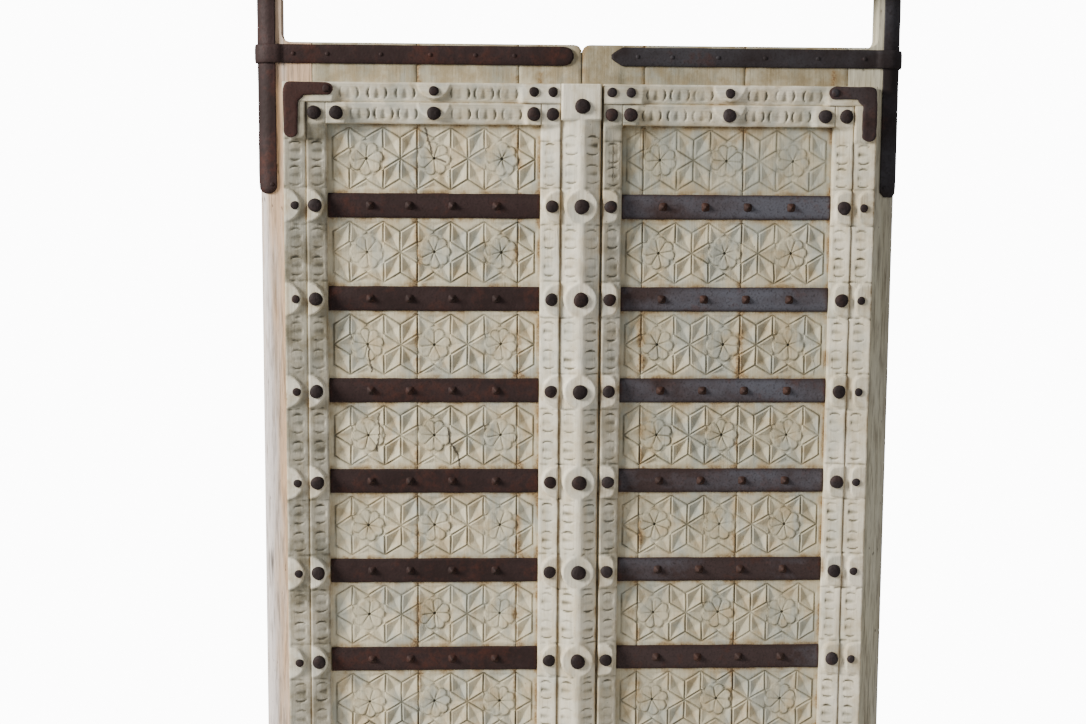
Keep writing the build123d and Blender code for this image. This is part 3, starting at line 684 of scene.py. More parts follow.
# %% Planks
WELD = 0.02
LINE_GAP = 0.05
PLAIN_STEP = 9.0
FRAME_LINES = (1.5, 5.0, 9.0, 21.0, 33.0)
TOP_PLAIN = 60.0
TOP_STEP = 6.0
BACK_EASE = 1.2
WAVER = 0.9
WAVER_FADE = 10.0
WEAR_LIMITS = (0.3, 1.05)
PLANK_SHARP = np.radians(38)
JOINT_CORNER = 14.0
MEETING_GAP = 1.4
TOP_DIRT = {"left": 0.34, "right": 0.47}
FIRST_ROW_DIRT_AND_SHADE = {"left": 0.0, "right": 0.14}
WORN_ROWS = {"left": (0.85, 0.95, 1, 1, 0.9, 0.85, 0.95, 0.95, 0.9),
             "right": (0.5, 0.85, 0.95, 0.95, 0.85, 0.8, 0.9, 0.9, 0.9)}


def panel_cells(start, end, leaf):
    """All cells of a plank between two insets, at every panel row."""
    draw = np.random.default_rng(SEED_OF[leaf])
    petals = draw.choice([7, 8, 8], (len(PANEL_LEVELS), STARS))
    turns = draw.uniform(0, 1, (len(PANEL_LEVELS), STARS))
    made = []
    for row, level in enumerate(PANEL_LEVELS):
        for star in range(STARS):
            for kind, corners in star_cells((2 * star - STARS + 1) * STAR_RADIUS):
                corners = np.asarray(corners) + (sum(PANEL) / 2, level)
                if start < corners[:, 0].mean() < end:
                    made.append(cell(kind, corners, petals[row, star], turns[row, star]))
    return made


def spaced(values):
    """Sorted values, without those that almost repeat the one before."""
    values = np.sort(values)
    return values[np.append(True, np.diff(values) > LINE_GAP)]


def plank_frame(start, end, rim):
    """Plain quads round the openings: lines through every border point, without the quads inside a panel."""
    left, right = sum(PANEL) / 2 - FIELD_HALF, sum(PANEL) / 2 + FIELD_HALF
    on_end = np.abs(np.abs(rim[:, 1] - PANEL_LEVELS[:, None]).min(0) - STAR_HALF_HEIGHT) < SAME
    on_side = (np.abs(rim[:, 0] - left) < SAME) | (np.abs(rim[:, 0] - right) < SAME)
    first, second = END_STEPS
    near = [start + first, start + second, left - GROOVE_HALF] if start < left else []
    far = [right + GROOVE_HALF, end - second, end - first] if end > right else []
    plain = np.concatenate([near, far, runs(start, (min(left, end), PLAIN_STEP)) if start < left else [start],
                            runs(max(right, start), (end, PLAIN_STEP)) if end > right else [end]])
    columns = np.concatenate([plain, rim[on_end, 0]])
    off = STAR_HALF_HEIGHT + np.array(FRAME_LINES)
    between = np.concatenate([PANEL_LEVELS[:, None] + off * sign for sign in (1, -1)]).ravel()
    between = between[(between > LEAF_BOTTOM + 3) & (between < LEAF_TOP - TOP_PLAIN)]
    top = runs(PANEL_LEVELS[0] + STAR_HALF_HEIGHT + FRAME_LINES[-1], (LEAF_TOP - 4, TOP_STEP))
    ends = [LEAF_BOTTOM, LEAF_BOTTOM + 1.2, LEAF_BOTTOM + 4, LEAF_TOP - 1.2, LEAF_TOP]
    rows = np.concatenate([rim[on_side, 1], rim[on_end, 1], between, top, ends])
    columns, rows = spaced(columns), spaced(rows)
    x, z = np.meshgrid(columns, rows)
    faces = grid_faces(len(rows), len(columns))
    points = np.stack([x, z], -1).reshape(-1, 2)
    centre = points[faces].mean(1)
    row = np.abs(centre[:, 1:] - PANEL_LEVELS).min(1)
    opening = (centre[:, 0] > left) & (centre[:, 0] < right) & (row < STAR_HALF_HEIGHT)
    return points, faces[~opening]


def weld(parts):
    """Join parts given as (points, values, face arrays): points at one place become one."""
    points, values, faces, start = [], [], {}, 0
    for part_points, part_values, part_faces in parts:
        points.append(part_points)
        values.append(part_values)
        for array in part_faces:
            faces.setdefault(array.shape[1], []).append(array + start)
        start += len(part_points)
    points, values = np.concatenate(points), np.concatenate(values)
    keys = np.round((points + WELD * 0.19) / WELD).astype(np.int64)
    kept, first, place = np.unique(keys, axis=0, return_index=True, return_inverse=True)
    place = place.ravel()
    used = np.unique(np.concatenate([place[np.concatenate(group)].ravel() for group in faces.values()]))
    final = np.zeros(len(kept), int)
    final[used] = np.arange(len(used))
    merged = [final[place[np.concatenate(group)]] for group in faces.values()]
    return points[first][used], values[first][used], merged


def close_back(points, front_faces, back, ease):
    """Wall, bevel and back for a skin with a convex outline: every open edge goes back.

    The loop of the back is sorted by the angle about the middle.
    """
    pairs = [np.stack([part, np.roll(part, -1, 1)], -1).reshape(-1, 2) for part in front_faces]
    edges = np.concatenate(pairs)
    place, count = np.unique(np.sort(edges, 1), axis=0, return_inverse=True, return_counts=True)[1:]
    edges = edges[count[place.ravel()] == 1]
    rim = np.unique(edges)
    to_wall = np.zeros(len(points), int)
    to_wall[rim] = len(points) + np.arange(len(rim))
    wall, inner = points[rim].copy(), points[rim].copy()
    wall[:, 1], inner[:, 1] = back - ease, back
    low, high = wall.min(0), wall.max(0)
    inner += np.array([ease, 0, ease]) * ((wall < low + 0.01).astype(int) - (wall > high - 0.01))
    a, b = edges.T
    shift = len(rim)
    side = np.stack([a, to_wall[a], to_wall[b], b], -1)
    bevel = np.stack([to_wall[a], to_wall[a] + shift, to_wall[b] + shift, to_wall[b]], -1)
    flat_axes = [0, 2]
    off = (wall - (low + high) / 2)[:, flat_axes] / (high - low)[flat_axes]
    order = np.argsort(np.arctan2(off[:, 1], off[:, 0]))
    flat = (len(points) + shift + order)[None, ::-1]
    return np.concatenate([points, wall, inner]), [(side, False), (bevel, False), (flat, False)]


def plank_marks(leaf, inset, level, edge, depth, grime_and_shade, joint, seed):
    """Grime with painted shade, rust and wear of a plank, each a sum of bells over distances, broken by
    noise.

    Grime and painted shade lie in the cuts, the colour darkens along the border, grime lies on the plain top,
    and the right leaf's first row takes grime with painted shade under the rails; rust lies under the bands
    and at the joints.
    """
    row = np.argmin(np.abs(level[:, None] - PANEL_LEVELS), 1)
    from_middle = np.abs(level - PANEL_LEVELS[row])
    at_right = (PANEL[1] - inset) if leaf == "left" else (inset - PANEL[0])
    under_band = bump(PANEL_HALF - from_middle, 9) * 0.55
    seam = bump(edge, 9) * (0.35 + 0.75 * rough(inset * 0, level, 70, seed + 3))
    rust = np.clip(under_band + 0.75 * bump(at_right, 7) + seam, 0, 1)
    border = bump(np.minimum(inset - PANEL[0], PANEL[1] - inset), 9) + bump(PANEL_HALF - from_middle, 5)
    # Grime and painted shade: from the cells and the depth of the cuts, plus darker plank joints.
    dirt_and_shade = grime_and_shade * (0.62 + 0.5 * rough(inset, level, 26, seed + 8)) + 0.24 * depth / 6 + 0.4 * bump(edge, 1.0)
    plain = soft_step(PANEL_LEVELS[0] + PANEL_HALF, LEAF_TOP - TOP_PLAIN, level)
    dirt_and_shade += 0.22 * border * (1 + rough(inset, level, 30, seed + 9)) + TOP_DIRT[leaf] * plain
    # The right leaf's first row: grime and painted shade under the rails.
    dirt_and_shade += FIRST_ROW_DIRT_AND_SHADE[leaf] * (row == 0) * (1 - plain)
    worn = joint / 3 + plain * (0.55 + 0.3 * rough(inset, level * 0.2, 20, seed + 10))
    return np.clip(np.stack([dirt_and_shade, rust, worn], -1), 0, 1)


def bare_back(piece, count):
    """Give the last faces of a plank, its bevel and back, the bare wood."""
    piece.data.materials.append(BACK_WOOD)
    index = np.zeros(len(piece.data.polygons), np.int32)
    index[-count:] = 1
    piece.data.polygons.foreach_set("material_index", index)


def plank(leaf, name):
    """One plank: frame and cells welded, then waves, wear and eased joints."""
    low, high = box_mm(f"left_{name}")
    start, end = low[0] + LEAF, high[0] + LEAF
    if name == "board_inner":
        end = LEAF - MEETING_GAP / 2
    cells = panel_cells(start, end, leaf)
    rim = np.concatenate([made[0] for made in cells])
    frame_points, frame_faces = plank_frame(start, end, rim)
    parts = [(made[0], made[1], [made[2], made[3]]) for made in cells]
    parts.append((frame_points, np.zeros((len(frame_points), 2)), [frame_faces]))
    places, values, faces = weld(parts)
    (inset, level), (depth, grime_and_shade) = places.T, values.T
    seed = SEED_OF[leaf] + len(name)
    row = np.argmin(np.abs(level[:, None] - PANEL_LEVELS), 1)
    above = STAR_HALF_HEIGHT - np.abs(level - PANEL_LEVELS[row])
    inside = np.minimum(FIELD_HALF - np.abs(inset - sum(PANEL) / 2), above)
    edge = np.minimum(inset - start, end - inset)
    wear = np.array(WORN_ROWS[leaf])[row] * (0.82 + 0.33 * rough(inset, level, 48, 3 + SEED_OF[leaf]))
    depth = depth * np.clip(wear, *WEAR_LIMITS)
    wave = 0.2 * (1 + rough(inset, level * 0.1, 9, seed)) + 0.25 * (1 + rough(inset, level, 60, seed + 1))
    joint = bump(edge, 1.2) * (1.6 + 0.7 * rough(inset, level, 14, seed + 2))
    top = bump(LEAF_TOP - level, 2.0) * 1.2
    fade = np.clip(np.minimum(edge, inside) / WAVER_FADE, 0, 1)
    x = inset - LEAF + fade * WAVER * rough(inset, level, 34, seed + 5)
    z = level + fade * WAVER * rough(inset, level, 37, seed + 6)
    if end > PANEL[1]:
        drop = np.maximum(JOINT_CORNER - np.minimum(level - LEAF_BOTTOM, LEAF_TOP - level), 0)
        limit = end - JOINT_CORNER + np.sqrt(JOINT_CORNER ** 2 - drop ** 2)
        x = np.where(drop > 0, start + (inset - start) * (limit - start) / (end - start) - LEAF, x)
    skin = np.stack([x, -FRONT + np.maximum(depth + wave + joint + top, 0), z], -1)
    points, closing = close_back(skin, faces, high[1], BACK_EASE)
    marks = plank_marks(leaf, inset, level, edge, depth, grime_and_shade, joint, seed)
    piece = put(leaf, f"{name}_carved", name, points, [(part, True) for part in faces] + closing,
                WHITEWASH[leaf, "plank"], marks)
    piece.data.set_sharp_from_angle(angle=PLANK_SHARP)
    bare_back(piece, sum(len(part) for part, smooth in closing[1:]))


for leaf in BODY_OF:
    for name in ("board_outer", "board_middle", "board_inner"):
        plank(leaf, name)

# %% [markdown]
# The mouldings are wedge-shaped strips: high at one long edge, low towards the panels. At each band they
# keep an uncut half-round pad for the boss, and between the pads runs a small carved motif: a pointed bud
# between crescent cuts. On the strips and the astragal a row of chisel cuts ends the carving beside each pad.
# Bud, crescents and pads are plain distances from points and lines, and none of them is long and slanting,
# so here a height field on a fine grid leaves no saw teeth and is simpler than cells.

# %% Motif and moulding
MOTIF_OFFSET = 27.0
PAD_RADIUS = 31.0
STRIP_STEP = 2.2
BUD_REACH = 11.0
BUD_BELLY = 8.0
BUD_SLOPE = 0.36
MOON_OUTSIDE = (6.0, 14.0)
MOON_INSIDE = (-8.6, 23.8)
MOON_DEPTH = 4.2
MOON_WALL = 2.0
STOP_CUT = 35.0
STOP_CUT_DEPTH = 2.6
STOP_CUT_HALF = 1.8
PLAIN_EDGE = (-9.0, 2.0)
PLAIN_CURVE = 0.006
PLAIN_MIDDLE = 20.0
RIM_LINE = 0.8
LEAST_HEIGHT = 0.5
MOULDING_SEAT = 0.6


def motif(along, aside):
    """Depth of one bud and its crescents: a pointed bud cut to a crease, and moons where two circles part."""
    rise = np.clip((BUD_REACH - aside) / (2 * BUD_REACH), 0, 1)
    belly = BUD_BELLY * np.sqrt(1 - rise) * soft_step(0, 0.1, rise) + 1e-6
    bud = BUD_SLOPE * np.maximum(belly - np.abs(along), 0) * soft_step(1.0, 0.85, rise)
    outside = MOON_OUTSIDE[1] - np.hypot(np.abs(along) - MOON_OUTSIDE[0], aside)
    inside = np.hypot(np.abs(along) - MOON_INSIDE[0], aside) - MOON_INSIDE[1]
    moon = MOON_DEPTH * soft_step(0, MOON_WALL, np.minimum(outside, inside))
    return np.maximum(bud, moon)


def stop_cuts(level, across, places, seed):
    """Depth of the chisel cuts where the carving stops: a bell over the distance from a wavering line,
    broken along the line by noise as single strokes of the chisel."""
    near = np.abs(level[..., None] + 1.6 * rough(across, level * 0.1, 13, seed)[..., None] - places).min(-1)
    strokes = np.clip(0.55 + 1.0 * rough(across, level, 8, seed + 1), 0, 1)
    return STOP_CUT_DEPTH * bump(near, STOP_CUT_HALF) * strokes


def moulding_front(high_edge, along, across, wedge, pads, plain, motifs, middle, seed, power=2.0):
    """Distance in front of the planks, depth of the motif cut out of it, and the share of pad: a wedge, flush
    pads and plain ends, with the motif in what is left."""
    padded = np.zeros_like(along)
    for place in pads:
        reach = (np.abs(along - place) ** power + np.abs(across) ** power) ** (1 / power)
        padded = np.maximum(padded, soft_step(1.2, -1.0, reach - PAD_RADIUS))
    flush = padded
    for start, end in plain:
        within = np.minimum(along - start, end - along) - PLAIN_CURVE * (across - PLAIN_MIDDLE) ** 2
        flush = np.maximum(flush, soft_step(*PLAIN_EDGE, within))
    carved = 1 - soft_step(0.0, 0.6, flush)
    depth = carved * motif(motifs, across - middle) * (0.8 + 0.5 * rough(along, across, 20, seed))
    return wedge + (high_edge - wedge) * flush, depth, padded


def seat_moulding(leaf, name, inset, level, height, marks, grain):
    """Set a moulding on the planks: a slab from its height over them, its back sunk in a little."""
    front = -FRONT - np.maximum(height, LEAST_HEIGHT)
    points, faces = slab(inset - LEAF, front, level, -FRONT + MOULDING_SEAT)
    marks = np.clip(np.stack(marks, -1), 0, 1).reshape(-1, 3)
    put(leaf, f"{name}_carved", name, points, faces, WHITEWASH[leaf, grain], marks)


# Painted shade: a dark film on the strips whose faces slope away from the light.
STRIP_PAINTED_SHADE = {"left_outer_strip": 0.52, "left_inner_strip": 0.5, "right_meeting_strip": 0.3}
STRIP_FALL = {True: (0.5, 9.0), False: (2.0, 12.0)}
STRIP_HEAD = {True: 67, False: 40}
STRIP_CLOSE = 1.0
FIRST_ROW_DROP = 10.0
FIRST_ROW_CLOSE = 5.0
# Cuts darken with their depth: grime and painted shade.
CUT_GRIME_AND_SHADE = 3.0
PAD_POWER = {"left": 2.0, "right": 4.0}


def strip(leaf, name, high_first):
    """Upright moulding: x across, z up, the high edge on the outer side or on the inner side."""
    low, high = box_mm(f"left_{name}")
    outer = name == "outer_strip"
    start, end = low[0] + LEAF, high[0] + LEAF + STRIP_CLOSE * outer
    levels = runs(low[2], (high[2], STRIP_STEP))
    rims = [start + RIM_LINE, end - RIM_LINE]
    lines = np.unique(np.append(runs(start, (end, STRIP_STEP)), rims))
    inset, level = np.meshgrid(lines, levels)
    across = inset - start if high_first else end - inset
    top = -low[1] - FRONT
    first, last = STRIP_FALL[outer]
    wedge = top - first - (last - first) * across / (end - start)
    row = np.clip(np.round((PANEL_LEVELS[0] - level) / ROW_PITCH).astype(int), 0, len(PANEL_LEVELS) - 1)
    seed = SEED_OF[leaf] + len(name) * 3
    shift = 1.5 * rough(level, level * 0, 80, seed)
    middle_level = PANEL_LEVELS[row] - FIRST_ROW_DROP * (row == 0)
    along = np.abs(level - middle_level) - MOTIF_OFFSET + FIRST_ROW_CLOSE * (row == 0) + shift
    plain = [(high[2] - STRIP_HEAD[outer], high[2] - PLAIN_EDGE[0])]
    out, depth, padded = moulding_front(top, level, across, wedge, BAND_LEVELS, plain, along,
                                        (end - start) / 2 + 1, seed, PAD_POWER[leaf])
    stops = np.concatenate([BAND_LEVELS - STOP_CUT, BAND_LEVELS + STOP_CUT, [PANEL_LEVELS[0] + STOP_CUT]])
    depth = np.maximum(depth, stop_cuts(level, across, stops, seed + 11))
    edge = np.minimum(inset - start, end - inset)
    ease = bump(edge, 1.1) * (1.5 + 0.7 * rough(inset, level, 17, seed + 1))
    wave = 0.35 * (1 + rough(inset, level, 26, seed + 2))
    near = np.abs(level[..., None] - BAND_LEVELS).min(-1)
    patchy = soft_step(0.0, 0.7, rough(inset, level, 70, seed + 3))
    rust = 0.4 * bump(edge, 4) * patchy + 0.25 * bump(near, 20)
    # Painted shade on the strips that face away from the light, kept off the pads that face forwards; those
    # strips take less darkening in their cuts.
    painted_shade = STRIP_PAINTED_SHADE.get(f"{leaf}_{name}", 0.0)
    shade_film = painted_shade * (1 + 0.6 * rough(inset, level, 42, seed + 4)) * (1 - 0.85 * padded)
    dirt_and_shade = depth / (CUT_GRIME_AND_SHADE + 7 * painted_shade) + shade_film
    height = out - depth - ease - wave
    seat_moulding(leaf, name, inset, level, height, [dirt_and_shade, rust, ease / 2], "upright")


for leaf in BODY_OF:
    strip(leaf, "outer_strip", True)
    strip(leaf, "inner_strip", True)
    strip(leaf, "meeting_strip", False)

# %% [markdown]
# The rails lie on their sides, so the same moulding runs along x. The top rails have flat ends under the
# corner plate and the end bosses, and a pad in the middle. The bottom rails are carved from end to end.

# %% Rails
RAIL_ENDS = {"top_outer_rail": (94, 74), "top_inner_rail": (38, 28)}
RAIL_MOTIF_PITCH = 49.0
RAIL_GRIME_AND_SHADE = 4.2
RAIL_FILM = 0.1
RAIL_FALL = 12.0
RAIL_MARGINS = (6.0, 3.0, 4.0)


def rail(leaf, name):
    """Level moulding: x along, z across with the high edge on top."""
    low, high = box_mm(f"left_{name}")
    start, end = low[0] + LEAF, high[0] + LEAF
    ends = RAIL_ENDS.get(name)
    lines = runs(start, (end, STRIP_STEP))
    rims = [low[2] + RIM_LINE, high[2] - RIM_LINE]
    levels = np.unique(np.append(runs(low[2], (high[2], STRIP_STEP)), rims))
    inset, level = np.meshgrid(lines, levels)
    across = high[2] - level
    top = -low[1] - FRONT
    wedge = top - RAIL_FALL * across / (high[2] - low[2])
    middle = sum(PANEL) / 2
    seed = SEED_OF[leaf] + len(name) * 5
    from_end, from_plain, from_pad = RAIL_MARGINS
    pads, plain, zones = [], [], [(start + from_end, end - from_end)]
    if ends:
        pads = [middle]
        plain = [(start + PLAIN_EDGE[0], start + ends[0]), (end - ends[1], end - PLAIN_EDGE[0])]
        zones = [(start + ends[0] + from_plain, middle - PAD_RADIUS + from_pad),
                 (middle + PAD_RADIUS - from_pad, end - ends[1] - from_plain)]
    motifs = np.full_like(inset, 99.0)
    for first, last in zones:
        pitch = (last - first) / round((last - first) / RAIL_MOTIF_PITCH)
        within = (inset > first) & (inset < last)
        motifs = np.where(within, (inset - first) % pitch - pitch / 2, motifs)
    out, depth, padded = moulding_front(top, inset, across, wedge, pads, plain, motifs,
                                        (high[2] - low[2]) / 2 + 1, seed)
    edge = np.minimum(level - low[2], high[2] - level)
    ease = bump(edge, 1.1) * (1.4 + 0.6 * rough(inset, level, 17, seed + 1))
    wave = 0.35 * (1 + rough(inset, level, 26, seed + 2))
    rust = 0.35 * bump(edge, 3) * soft_step(-0.2, 0.6, rough(inset, level, 70, seed + 3))
    # Cuts darken with their depth, grime and painted shade, and a thin film of dirt lies off the pads.
    dirt_and_shade = depth / RAIL_GRIME_AND_SHADE + RAIL_FILM * (1 - padded)
    height = out - depth - ease - wave
    seat_moulding(leaf, name, inset, level, height, [dirt_and_shade, rust, ease / 2], "level")


for leaf in BODY_OF:
    for name in ("top_outer_rail", "top_inner_rail", "bottom_outer_rail", "bottom_inner_rail"):
        rail(leaf, name)

# %% [markdown]
# The astragal is the ridged strip that covers the meeting line. Its two flanks fall away from a narrow flat
# and carry the same motif, round discs stand flush with the ridge, and its head is a plain square block.

# %% Astragal
RIDGE_FLAT = 4.0
RIDGE_EDGE_OUT = 16.0
DISC_RADIUS = 32.0
BLOCK_HEIGHT = 67.0
BLOCK_BOSS = 42.0
FLANK_MIDDLE = 20.0
FLANK_STRETCH = 0.9
ASTRAGAL_SEAT = 1.6


def astragal():
    """Height field over the meeting line: a ridge between two flanks, discs, head block and motifs."""
    low, high = box_mm("left_astragal")
    near = box_mm("left_meeting_strip")[1][0] + RIM_LINE
    rims = [near, low[0] + RIM_LINE, high[0] - RIM_LINE]
    lines = np.unique(np.append(runs(low[0], (high[0], STRIP_STEP)), rims))
    x, level = np.meshgrid(lines, runs(low[2], (high[2], STRIP_STEP)))
    side, top, half = np.abs(x), -low[1] - FRONT, high[0]
    wedge = top - (top - RIDGE_EDGE_OUT) * np.clip((side - RIDGE_FLAT) / (half - RIDGE_FLAT), 0, 1)
    flush = soft_step(-0.9, 0.9, level - (high[2] - BLOCK_HEIGHT))
    for place in BAND_LEVELS:
        flush = np.maximum(flush, soft_step(0.9, -0.9, np.hypot(level - place, x) - DISC_RADIUS))
    row = np.clip(np.round((PANEL_LEVELS[0] - level) / ROW_PITCH).astype(int), 0, len(PANEL_LEVELS) - 1)
    along = np.abs(level - PANEL_LEVELS[row]) - MOTIF_OFFSET
    cut = motif(along, (side - FLANK_MIDDLE) * FLANK_STRETCH)
    depth = (1 - soft_step(0, 0.6, flush)) * cut * (0.8 + 0.5 * rough(x, level, 20, 5))
    stops = np.concatenate([BAND_LEVELS - STOP_CUT, BAND_LEVELS + STOP_CUT])
    depth = np.maximum(depth, (1 - flush) * soft_step(RIDGE_FLAT, RIDGE_FLAT + 6, side)
                       * stop_cuts(level, x, stops, 8))
    edge = np.where(x < 0, x - near, half - side)
    on_ridge = np.minimum(edge + 90 * (flush > 0.5), np.abs(side - RIDGE_FLAT))
    ease = bump(edge, 1.1) * 1.5 + bump(on_ridge, 1.2) * 0.3
    wave = 0.35 * (1 + rough(x, level, 26, 6))
    front = -FRONT - np.maximum(wedge + (top - wedge) * flush - depth - ease - wave, LEAST_HEIGHT)
    points, faces = slab(x, front, level, high[1] - ASTRAGAL_SEAT)
    rust = 0.5 * bump(edge, 4) * soft_step(-0.3, 0.6, rough(x, level, 70, 7))
    # Cuts darken with their depth: grime and painted shade.
    marks = np.clip(np.stack([depth / CUT_GRIME_AND_SHADE, rust, ease / 2], -1), 0, 1).reshape(-1, 3)
    put("left", "astragal_carved", "astragal", points, faces, WHITEWASH["left", "upright"],
        marks)


astragal()

# %% [markdown]
# The bands are flat bars, a little convex from the hammer, with edges that waver. A bevelled box would look
# milled. A grid along the bar and across it can be bent and dented, and each point of its rim goes back to
# the planks.

# %% Iron bands
BAND_STEP = 5.0
BAND_SEAT = 0.3
RIM_SHARES = np.array([0.92, 0.97, 1])


def across_shares(reach, count):
    """Places across a bar from -1 to 1: even steps up to a reach, then close ones at both edges."""
    return np.concatenate([-RIM_SHARES[::-1], np.linspace(-reach, reach, count), RIM_SHARES])


def band(leaf, place):
    """One band: convex across, dented, its long edges wavering by under a millimetre."""
    low, high = box_mm(f"left_band_{place}")
    seed = SEED_OF[leaf] + 7 * place
    along = runs(low[0] + 0.5, (low[0] + 2, 0.8), (high[0] - 2, BAND_STEP), (high[0] - 0.5, 0.8))
    x, t = np.meshgrid(along, across_shares(0.8, 9))
    half = (high[2] - low[2]) / 2 - 0.5 + 0.5 * rough(x, np.sign(t), 30, seed)
    level = (low[2] + high[2]) / 2 + half * t
    ends = np.minimum(x - low[0], high[0] - x)
    fall = 1.6 * t * t + 1.4 * soft_step(0.92, 1, np.abs(t)) + 0.8 * bump(ends, 1.5)
    dents = 0.3 * (1 + rough(x, level, 18, seed + 1))
    points, faces = slab(x, low[1] + fall + dents, level, -FRONT + BAND_SEAT)
    rim = np.clip(bump((1 - np.abs(t)) * half, 2.4) + bump(ends, 3), 0, 1)
    # The second channel is painted shade along the long edges.
    shade = bump((1 - np.abs(t)) * half, 5.0)
    marks = np.stack([rim, shade, rim], -1).reshape(-1, 3)
    put(leaf, f"band_{place}_forged", f"band_{place}", points, faces, IRON[leaf], marks)


for leaf in BODY_OF:
    for place in range(1, BAND_COUNT + 1):
        band(leaf, place)
print("bands", BAND_COUNT, "a leaf")

# %% [markdown]
# Bosses, studs and nails are all heads of forged pins: rings of points that narrow towards a tip. A power
# mean of sine and cosine turns the round ring into a square one for the studs. All heads of a leaf are one
# mesh, worked out together by giving every array a first axis for the head.

# %% Heads of pins
HEAD_SIDES = 16
HEAD_LEAN = 0.06
HEAD_HAMMER = 0.07
ROUND, SQUARE, NEAR_ROUND = 2.0, 4.0, 2.4
DOME = ((0.97, -0.12), (1.0, 0.12), (0.97, 0.38), (0.88, 0.66), (0.71, 0.85), (0.45, 0.95), (0.18, 1.0))
PYRAMID = ((1.0, -0.1), (1.0, 0.05), (0.9, 0.14), (0.66, 0.4), (0.42, 0.68), (0.2, 0.92), (0.08, 1.0))


def heads(places, sizes, rises, profile, power, seed):
    """Many heads at once: each is a stack of rings, wobbled, closed by a tip and a base."""
    draw = np.random.default_rng(seed)
    count, rings = len(places), len(profile)
    angle = np.linspace(0, 2 * np.pi, HEAD_SIDES, endpoint=False)
    phase = draw.uniform(0, 2 * np.pi, (count, 3, 1))
    wobble = 0.95 + 0.025 * np.cos(2 * angle + phase[:, 0]) + 0.025 * np.cos(3 * angle + phase[:, 1])
    outline = (np.abs(np.cos(angle)) ** power + np.abs(np.sin(angle)) ** power) ** (-1 / power)
    shares, lifts = np.array(profile).T
    sizes = np.asarray(sizes)
    radius = sizes[:, None, None] * shares[:, None] * (wobble * outline)[:, None, :]
    lean = draw.uniform(-HEAD_LEAN, HEAD_LEAN, (count, 2, 1, 1)) * lifts[:, None]
    lean = lean * sizes[:, None, None, None]
    hammer = 1 + HEAD_HAMMER * draw.uniform(-1, 1, (count, rings, HEAD_SIDES))
    rise = np.asarray(rises)[:, None, None] * lifts[:, None] * hammer
    places = np.asarray(places, float)[:, None, None, :]
    ring = np.stack([places[..., 0] + radius * np.cos(angle) + lean[:, 0], places[..., 1] - rise,
                     places[..., 2] + radius * np.sin(angle) + lean[:, 1]], -1)
    size = rings * HEAD_SIDES
    start = np.arange(count)[:, None, None] * size
    wall = (start + grid_faces(rings, HEAD_SIDES, True)).reshape(-1, 4)
    around = np.arange(HEAD_SIDES)
    tip = start[:, 0] + size - HEAD_SIDES + around
    base = (start[:, 0] + around)[:, ::-1]
    return ring.reshape(-1, 3), [(wall, True), (tip, True), (base, False)]


print("heads ready")

# %% [markdown]
# The places of the heads follow from the pads, discs and bands that carry them, so they are worked out here
# from the same lines as the solids.

# %% Bosses, studs and nails
INNER_HIGH = -box_mm("left_inner_strip")[0][1]
OUTER_HIGH = -box_mm("left_outer_strip")[0][1]
RIDGE_HIGH = -box_mm("left_astragal")[0][1]
INNER_RAIL = box_mm("left_top_inner_rail")
OUTER_RAIL = box_mm("left_top_outer_rail")
INNER_RAIL_LEVEL = (INNER_RAIL[0][2] + INNER_RAIL[1][2]) / 2
RAIL_BOSS_RISE = 3.0
BOSS_INSET = 15.0
RAIL_BOSS_INSETS = (19.0, 14.0)
BOSS_SEAT, STUD_SEAT = 0.4, 0.8
OUTER_RAIL_LEVEL = (OUTER_RAIL[0][2] + OUTER_RAIL[1][2]) / 2 + RAIL_BOSS_RISE
INNER_LINE = box_mm("left_inner_strip")[0][0] + BOSS_INSET
MEETING_LINE = box_mm("left_meeting_strip")[1][0] - BOSS_INSET
OUTER_LINE = (box_mm("left_outer_strip")[0][0] + box_mm("left_outer_strip")[1][0]) / 2
RISE_SHARE = 0.55
STUD_SHARES = {"left": (0.2, 0.384, 0.586, 0.794), "right": (0.19, 0.398, 0.6, 0.802)}
STUD_SIZE = (8.5, 10.0)
BOSSES = {"inner": 14.0, "meeting": 13.0, "outer": 8.5, "rail": 10.0, "astragal": 15.5}


def bosses(leaf):
    """All round heads of a leaf in one mesh."""
    rows = []
    for level in np.append(BAND_LEVELS, INNER_RAIL_LEVEL):
        rows.append((INNER_LINE, -INNER_HIGH, level, BOSSES["inner"]))
        rows.append((MEETING_LINE, -INNER_HIGH, level, BOSSES["meeting"]))
    rows += [(OUTER_LINE, -OUTER_HIGH, level, BOSSES["outer"]) for level in BAND_LEVELS]
    half_way = sum(PANEL) / 2 - LEAF
    near, far = PANEL[0] + RAIL_BOSS_INSETS[0] - LEAF, PANEL[1] - RAIL_BOSS_INSETS[1] - LEAF
    rows += [(x, -INNER_HIGH, INNER_RAIL_LEVEL, BOSSES["inner"]) for x in (near, half_way, far)]
    rows += [(x, -OUTER_HIGH, OUTER_RAIL_LEVEL, BOSSES["rail"]) for x in (half_way, far, MEETING_LINE)]
    if leaf == "left":
        block = OUTER_RAIL[1][2] - BLOCK_BOSS
        rows += [(0, -RIDGE_HIGH, level, BOSSES["astragal"]) for level in np.append(BAND_LEVELS, block)]
    rows = np.array(rows)
    rows[:, 1] += BOSS_SEAT
    points, faces = heads(rows[:, :3], rows[:, 3], rows[:, 3] * RISE_SHARE, DOME, ROUND, SEED_OF[leaf])
    put(leaf, "bosses_forged", "bosses", points, faces, BOSS_IRON[leaf])


